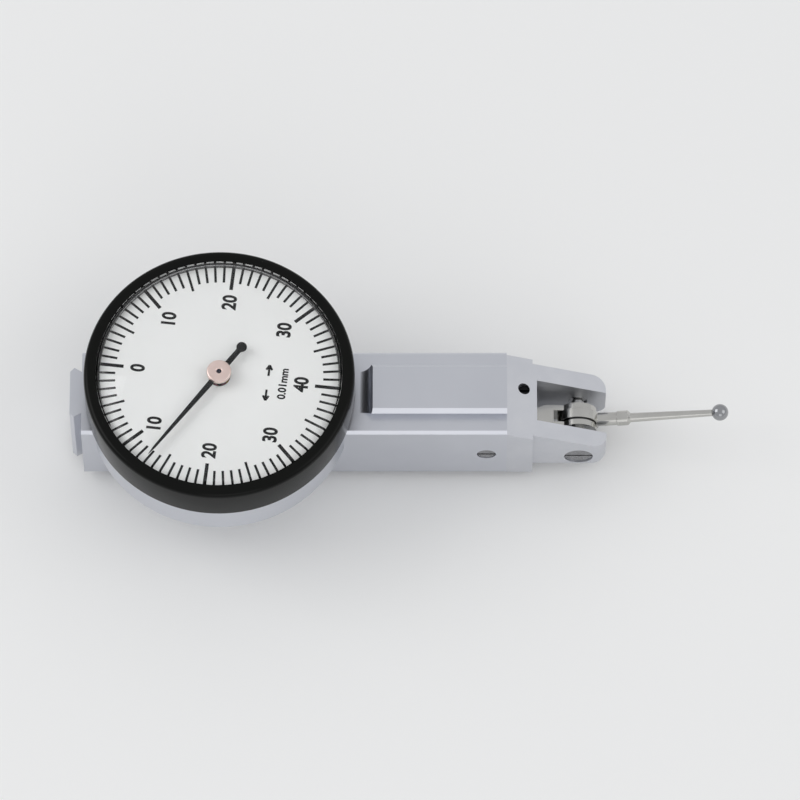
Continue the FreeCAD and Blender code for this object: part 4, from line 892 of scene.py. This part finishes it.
@dataclass
class Pointer:
    """The black needle and its turned hub."""

    root: float = 0.36
    tip: float = 0.12
    tail: float = 0.3
    disc: float = 0.62
    tail_inset: float = 1.2
    eye: float = 1.05
    end_gap: float = 0.02
    end_half: float = 0.01
    end_step: float = 0.001
    point: float = 0.25
    edge: float = 0.22
    stem: float = 0.7
    pin: float = 0.27
    countersink: float = 0.18
    foot_round: float = 0.05
    cap_under: float = 0.06
    sharp: float = 0.01
    hub_columns: int = 96

    def needle(self) -> None:
        """Stamp the needle, a strip whose half width changes along its length.

        Half width = the widest of the taper between tail, root and tip and of the half chord
        sqrt(r^2 - d^2) of the eye and of the tail's disc, at distance d from their centres.
        """
        low, high = low_high("pointer")
        angle = math.atan2(low[1], low[0])
        length = math.hypot(low[0], low[1]) - self.end_gap
        tail = math.hypot(high[0], high[1]) - self.tail_inset * self.disc
        tail_end = -tail - self.disc
        span = np.unique(np.concatenate([
            np.linspace(tail_end, -tail + self.disc, 33),
            np.linspace(-self.eye, self.eye, 41), np.linspace(self.eye, length, 12)]))
        taper = np.interp(span, [tail_end, tail_end + self.end_step, -tail, 0,
                                 length - self.point, length],
                          [self.end_half, self.end_half, self.tail, self.root, self.tip,
                           self.end_half])
        disc = np.sqrt(np.clip(self.disc ** 2 - (span + tail) ** 2, 0, None))
        eye = np.sqrt(np.clip(self.eye ** 2 - span ** 2, 0, None))
        half = np.maximum.reduce([taper, disc, eye])
        ring = np.stack([np.stack([span, side * half, 0 * span + height], axis=1)
                         for side, height in ((-1, low[2]), (1, low[2]), (1, high[2]),
                                              (-1, high[2]))], axis=1)
        cos, sin = math.cos(angle), math.sin(angle)
        points = ring.reshape(-1, 3) @ np.array([[cos, sin, 0], [-sin, cos, 0], [0, 0, 1]])
        faces = loop_faces(len(span), 4)[:-4]
        last = 4 * (len(span) - 1)
        ends = np.array([[0, 1, 2, 3], [last + 3, last + 2, last + 1, last]])
        made = piece("pointer_stamped", points, np.concatenate([faces, ends]), "pointer_arbor",
                     POINTER_LACQUER)
        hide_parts("pointer")

    def hub(self) -> None:
        """Turn the hub: thin stem, wide cap with a rounded rim and a countersunk bore."""
        low, high = low_high("pointer_hub")
        radius, foot, top = high[0], low[2], high[2]
        under = low_high("pointer")[1][2]
        corners = np.array([[self.pin, foot], [self.stem, foot], [self.stem, under],
                            [radius, under], [radius, top], [self.pin, top]])
        setback = np.array([self.sharp, self.foot_round, self.sharp, self.cap_under, self.edge,
                            self.countersink])
        made = piece("pointer_hub_turned", *lathe(rounded(corners, setback), self.hub_columns),
                     "pointer_arbor", ROSE_HUB)
        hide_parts("pointer_hub")

    def build(self) -> None:
        """Make the needle and the hub."""
        self.needle()
        self.hub()


@dataclass
class Stylus:
    """The swivelling contact point: hub disc, threaded shank and ball."""

    ball_rows: int = 48
    ball_columns: int = 64
    hub_break: float = 0.06
    shank_break: float = 0.03

    def ball(self) -> None:
        """Lap the ball: a half circle (r sin a, r cos a) turned about its own axis."""
        low, high = low_high("stylus_ball")
        centre, radius = (low + high) / 2, (high - low)[1] / 2
        angle = np.linspace(0, np.pi, self.ball_rows)
        half = np.stack([radius * np.sin(angle), radius * np.cos(angle)], axis=1)
        points, faces = lathe(half, self.ball_columns)
        made = piece("stylus_ball_lapped", points + centre, faces[:-self.ball_columns], "stylus",
                     BALL_CARBIDE, smooth=60)
        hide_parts("stylus_ball")

    def build(self) -> None:
        """Make the hub, shank and ball."""
        edge_broken("stylus_hub", POLISHED_STEEL, self.hub_break)
        edge_broken("stylus_shank", POLISHED_STEEL, self.shank_break)
        self.ball()


@dataclass
class Movement:
    """The lever, gear train and frame inside the case."""

    lever_break: float = 0.05

    def build(self) -> None:
        """Finish the lever and every node of the movement."""
        edge_broken("measuring_lever", POLISHED_STEEL, self.lever_break)
        refinish(GEAR_BRASS, "sector_gear", "crown_wheel")
        refinish(PLATE_BRASS, "movement_frame", "upper_bridge", "centre_cock")
        refinish(PILLAR_BRASS, "bridge_pillars", "hairspring_stud", "hairspring_collet")
        refinish(RUBY, "centre_jewels", "arbor_jewels")
        refinish(SCREW_STEEL, "plate_screws", "bridge_screws", "sector_screws", "cock_screw",
                 "bearing_plugs")
        refinish(POLISHED_STEEL, "cross_arbor", "pivot_shaft")
        refinish(BLUED_STEEL, "centre_arbor")
        refinish(BEARING_STEEL, "pivot_bearings")
        refinish(SPRING_STEEL, "bezel_spring_ring", "friction_washers")
        refinish(SPRING_BRONZE, "hairspring")


@dataclass(frozen=True)
class SoftBox:
    """A square lamp: its name, its place and side in metres, and its power in watts."""

    name: str
    spot: tuple[float, float, float]
    power: float
    side: float = 0.5


@dataclass
class Studio:
    """Pale floor, soft lamps and a long-lens camera above the near side."""

    elevation: float = 65.0
    width_mm: float = 95.0
    distance: float = 0.9
    sensor: float = 36.0
    floor_reach: float = 3000.0
    floor_level: float = -0.01
    sky: str = "#FAFBFD"
    sky_strength: float = 0.72
    lamps: tuple[SoftBox, ...] = (SoftBox("key_soft_box", (-0.6, 0.1, 0.5), 1.2),
                                  SoftBox("fill_soft_box", (0.6, -0.1, 0.5), 0.6),
                                  SoftBox("front_soft_box", (0.1, -0.75, 0.36), 0.45))

    def floor(self) -> None:
        """Lay a wide pale floor whose tone varies a little."""
        side = np.array([[-1, -1], [1, -1], [1, 1], [-1, 1]]) * self.floor_reach
        points = np.concatenate([side, np.full((4, 1), self.floor_level)], axis=1)
        mesh = bpy.data.meshes.new("studio_floor")
        mesh.from_pydata((points * MM).tolist(), [], [[0, 1, 2, 3]])
        mesh.materials.append(STUDIO_PAPER.material())
        made = bpy.data.objects.new("studio_floor", mesh)
        bpy.context.scene.collection.objects.link(made)
        made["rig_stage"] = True

    def world(self) -> None:
        """Surround the scene with even pale light."""
        world = bpy.data.worlds.new("studio_world")
        world.use_nodes = True
        tree = world.node_tree
        tree.nodes.clear()
        even = add(tree, "ShaderNodeBackground",
                   {"Color": linear(self.sky), "Strength": self.sky_strength})
        add(tree, "ShaderNodeOutputWorld", {"Surface": even.outputs[0]})
        bpy.context.scene.world = world

    def lamp(self, box: SoftBox) -> None:
        """Hang a soft box that faces the object.

        Args:
            box: the lamp.
        """
        light = bpy.data.lights.new(box.name, "AREA")
        light.energy = box.power
        light.size = box.side
        made = bpy.data.objects.new(box.name, light)
        bpy.context.scene.collection.objects.link(made)
        made.location = box.spot
        centre = (CAD_BOX[0] + CAD_BOX[1]) / 2
        made.rotation_euler = (centre - made.location).to_track_quat("-Z", "Y").to_euler()

    def camera(self) -> None:
        """Set a long lens at the viewing angle: lens = sensor * distance / width."""
        low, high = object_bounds()
        centre = (low + high) / 2
        lift = math.radians(self.elevation)
        data = bpy.data.cameras.new("studio_camera")
        data.sensor_width = self.sensor
        data.lens = self.sensor * self.distance / (self.width_mm * MM)
        data.clip_start, data.clip_end = 0.05, 20
        made = bpy.data.objects.new("studio_camera", data)
        bpy.context.scene.collection.objects.link(made)
        back = Vector((0, -math.cos(lift), math.sin(lift)))
        made.location = centre + back * self.distance
        made.rotation_euler = (-back).to_track_quat("-Z", "Y").to_euler()
        bpy.context.scene.camera = made

    def build(self) -> None:
        """Make the floor, the light and the camera."""
        self.floor()
        self.world()
        for box in self.lamps:
            self.lamp(box)
        self.camera()
        bpy.context.scene.view_settings.view_transform = "Standard"


def main() -> None:
    """Build every sub-assembly and the studio."""
    logging.basicConfig(level=logging.INFO, format="%(name)s: %(message)s")
    for part in (Bar(), Bezel(), Dial(), Pointer(), Stylus(), Movement(), Studio()):
        LOG.info("building %s", type(part).__name__)
        part.build()


if __name__ == "__main__":
    main()
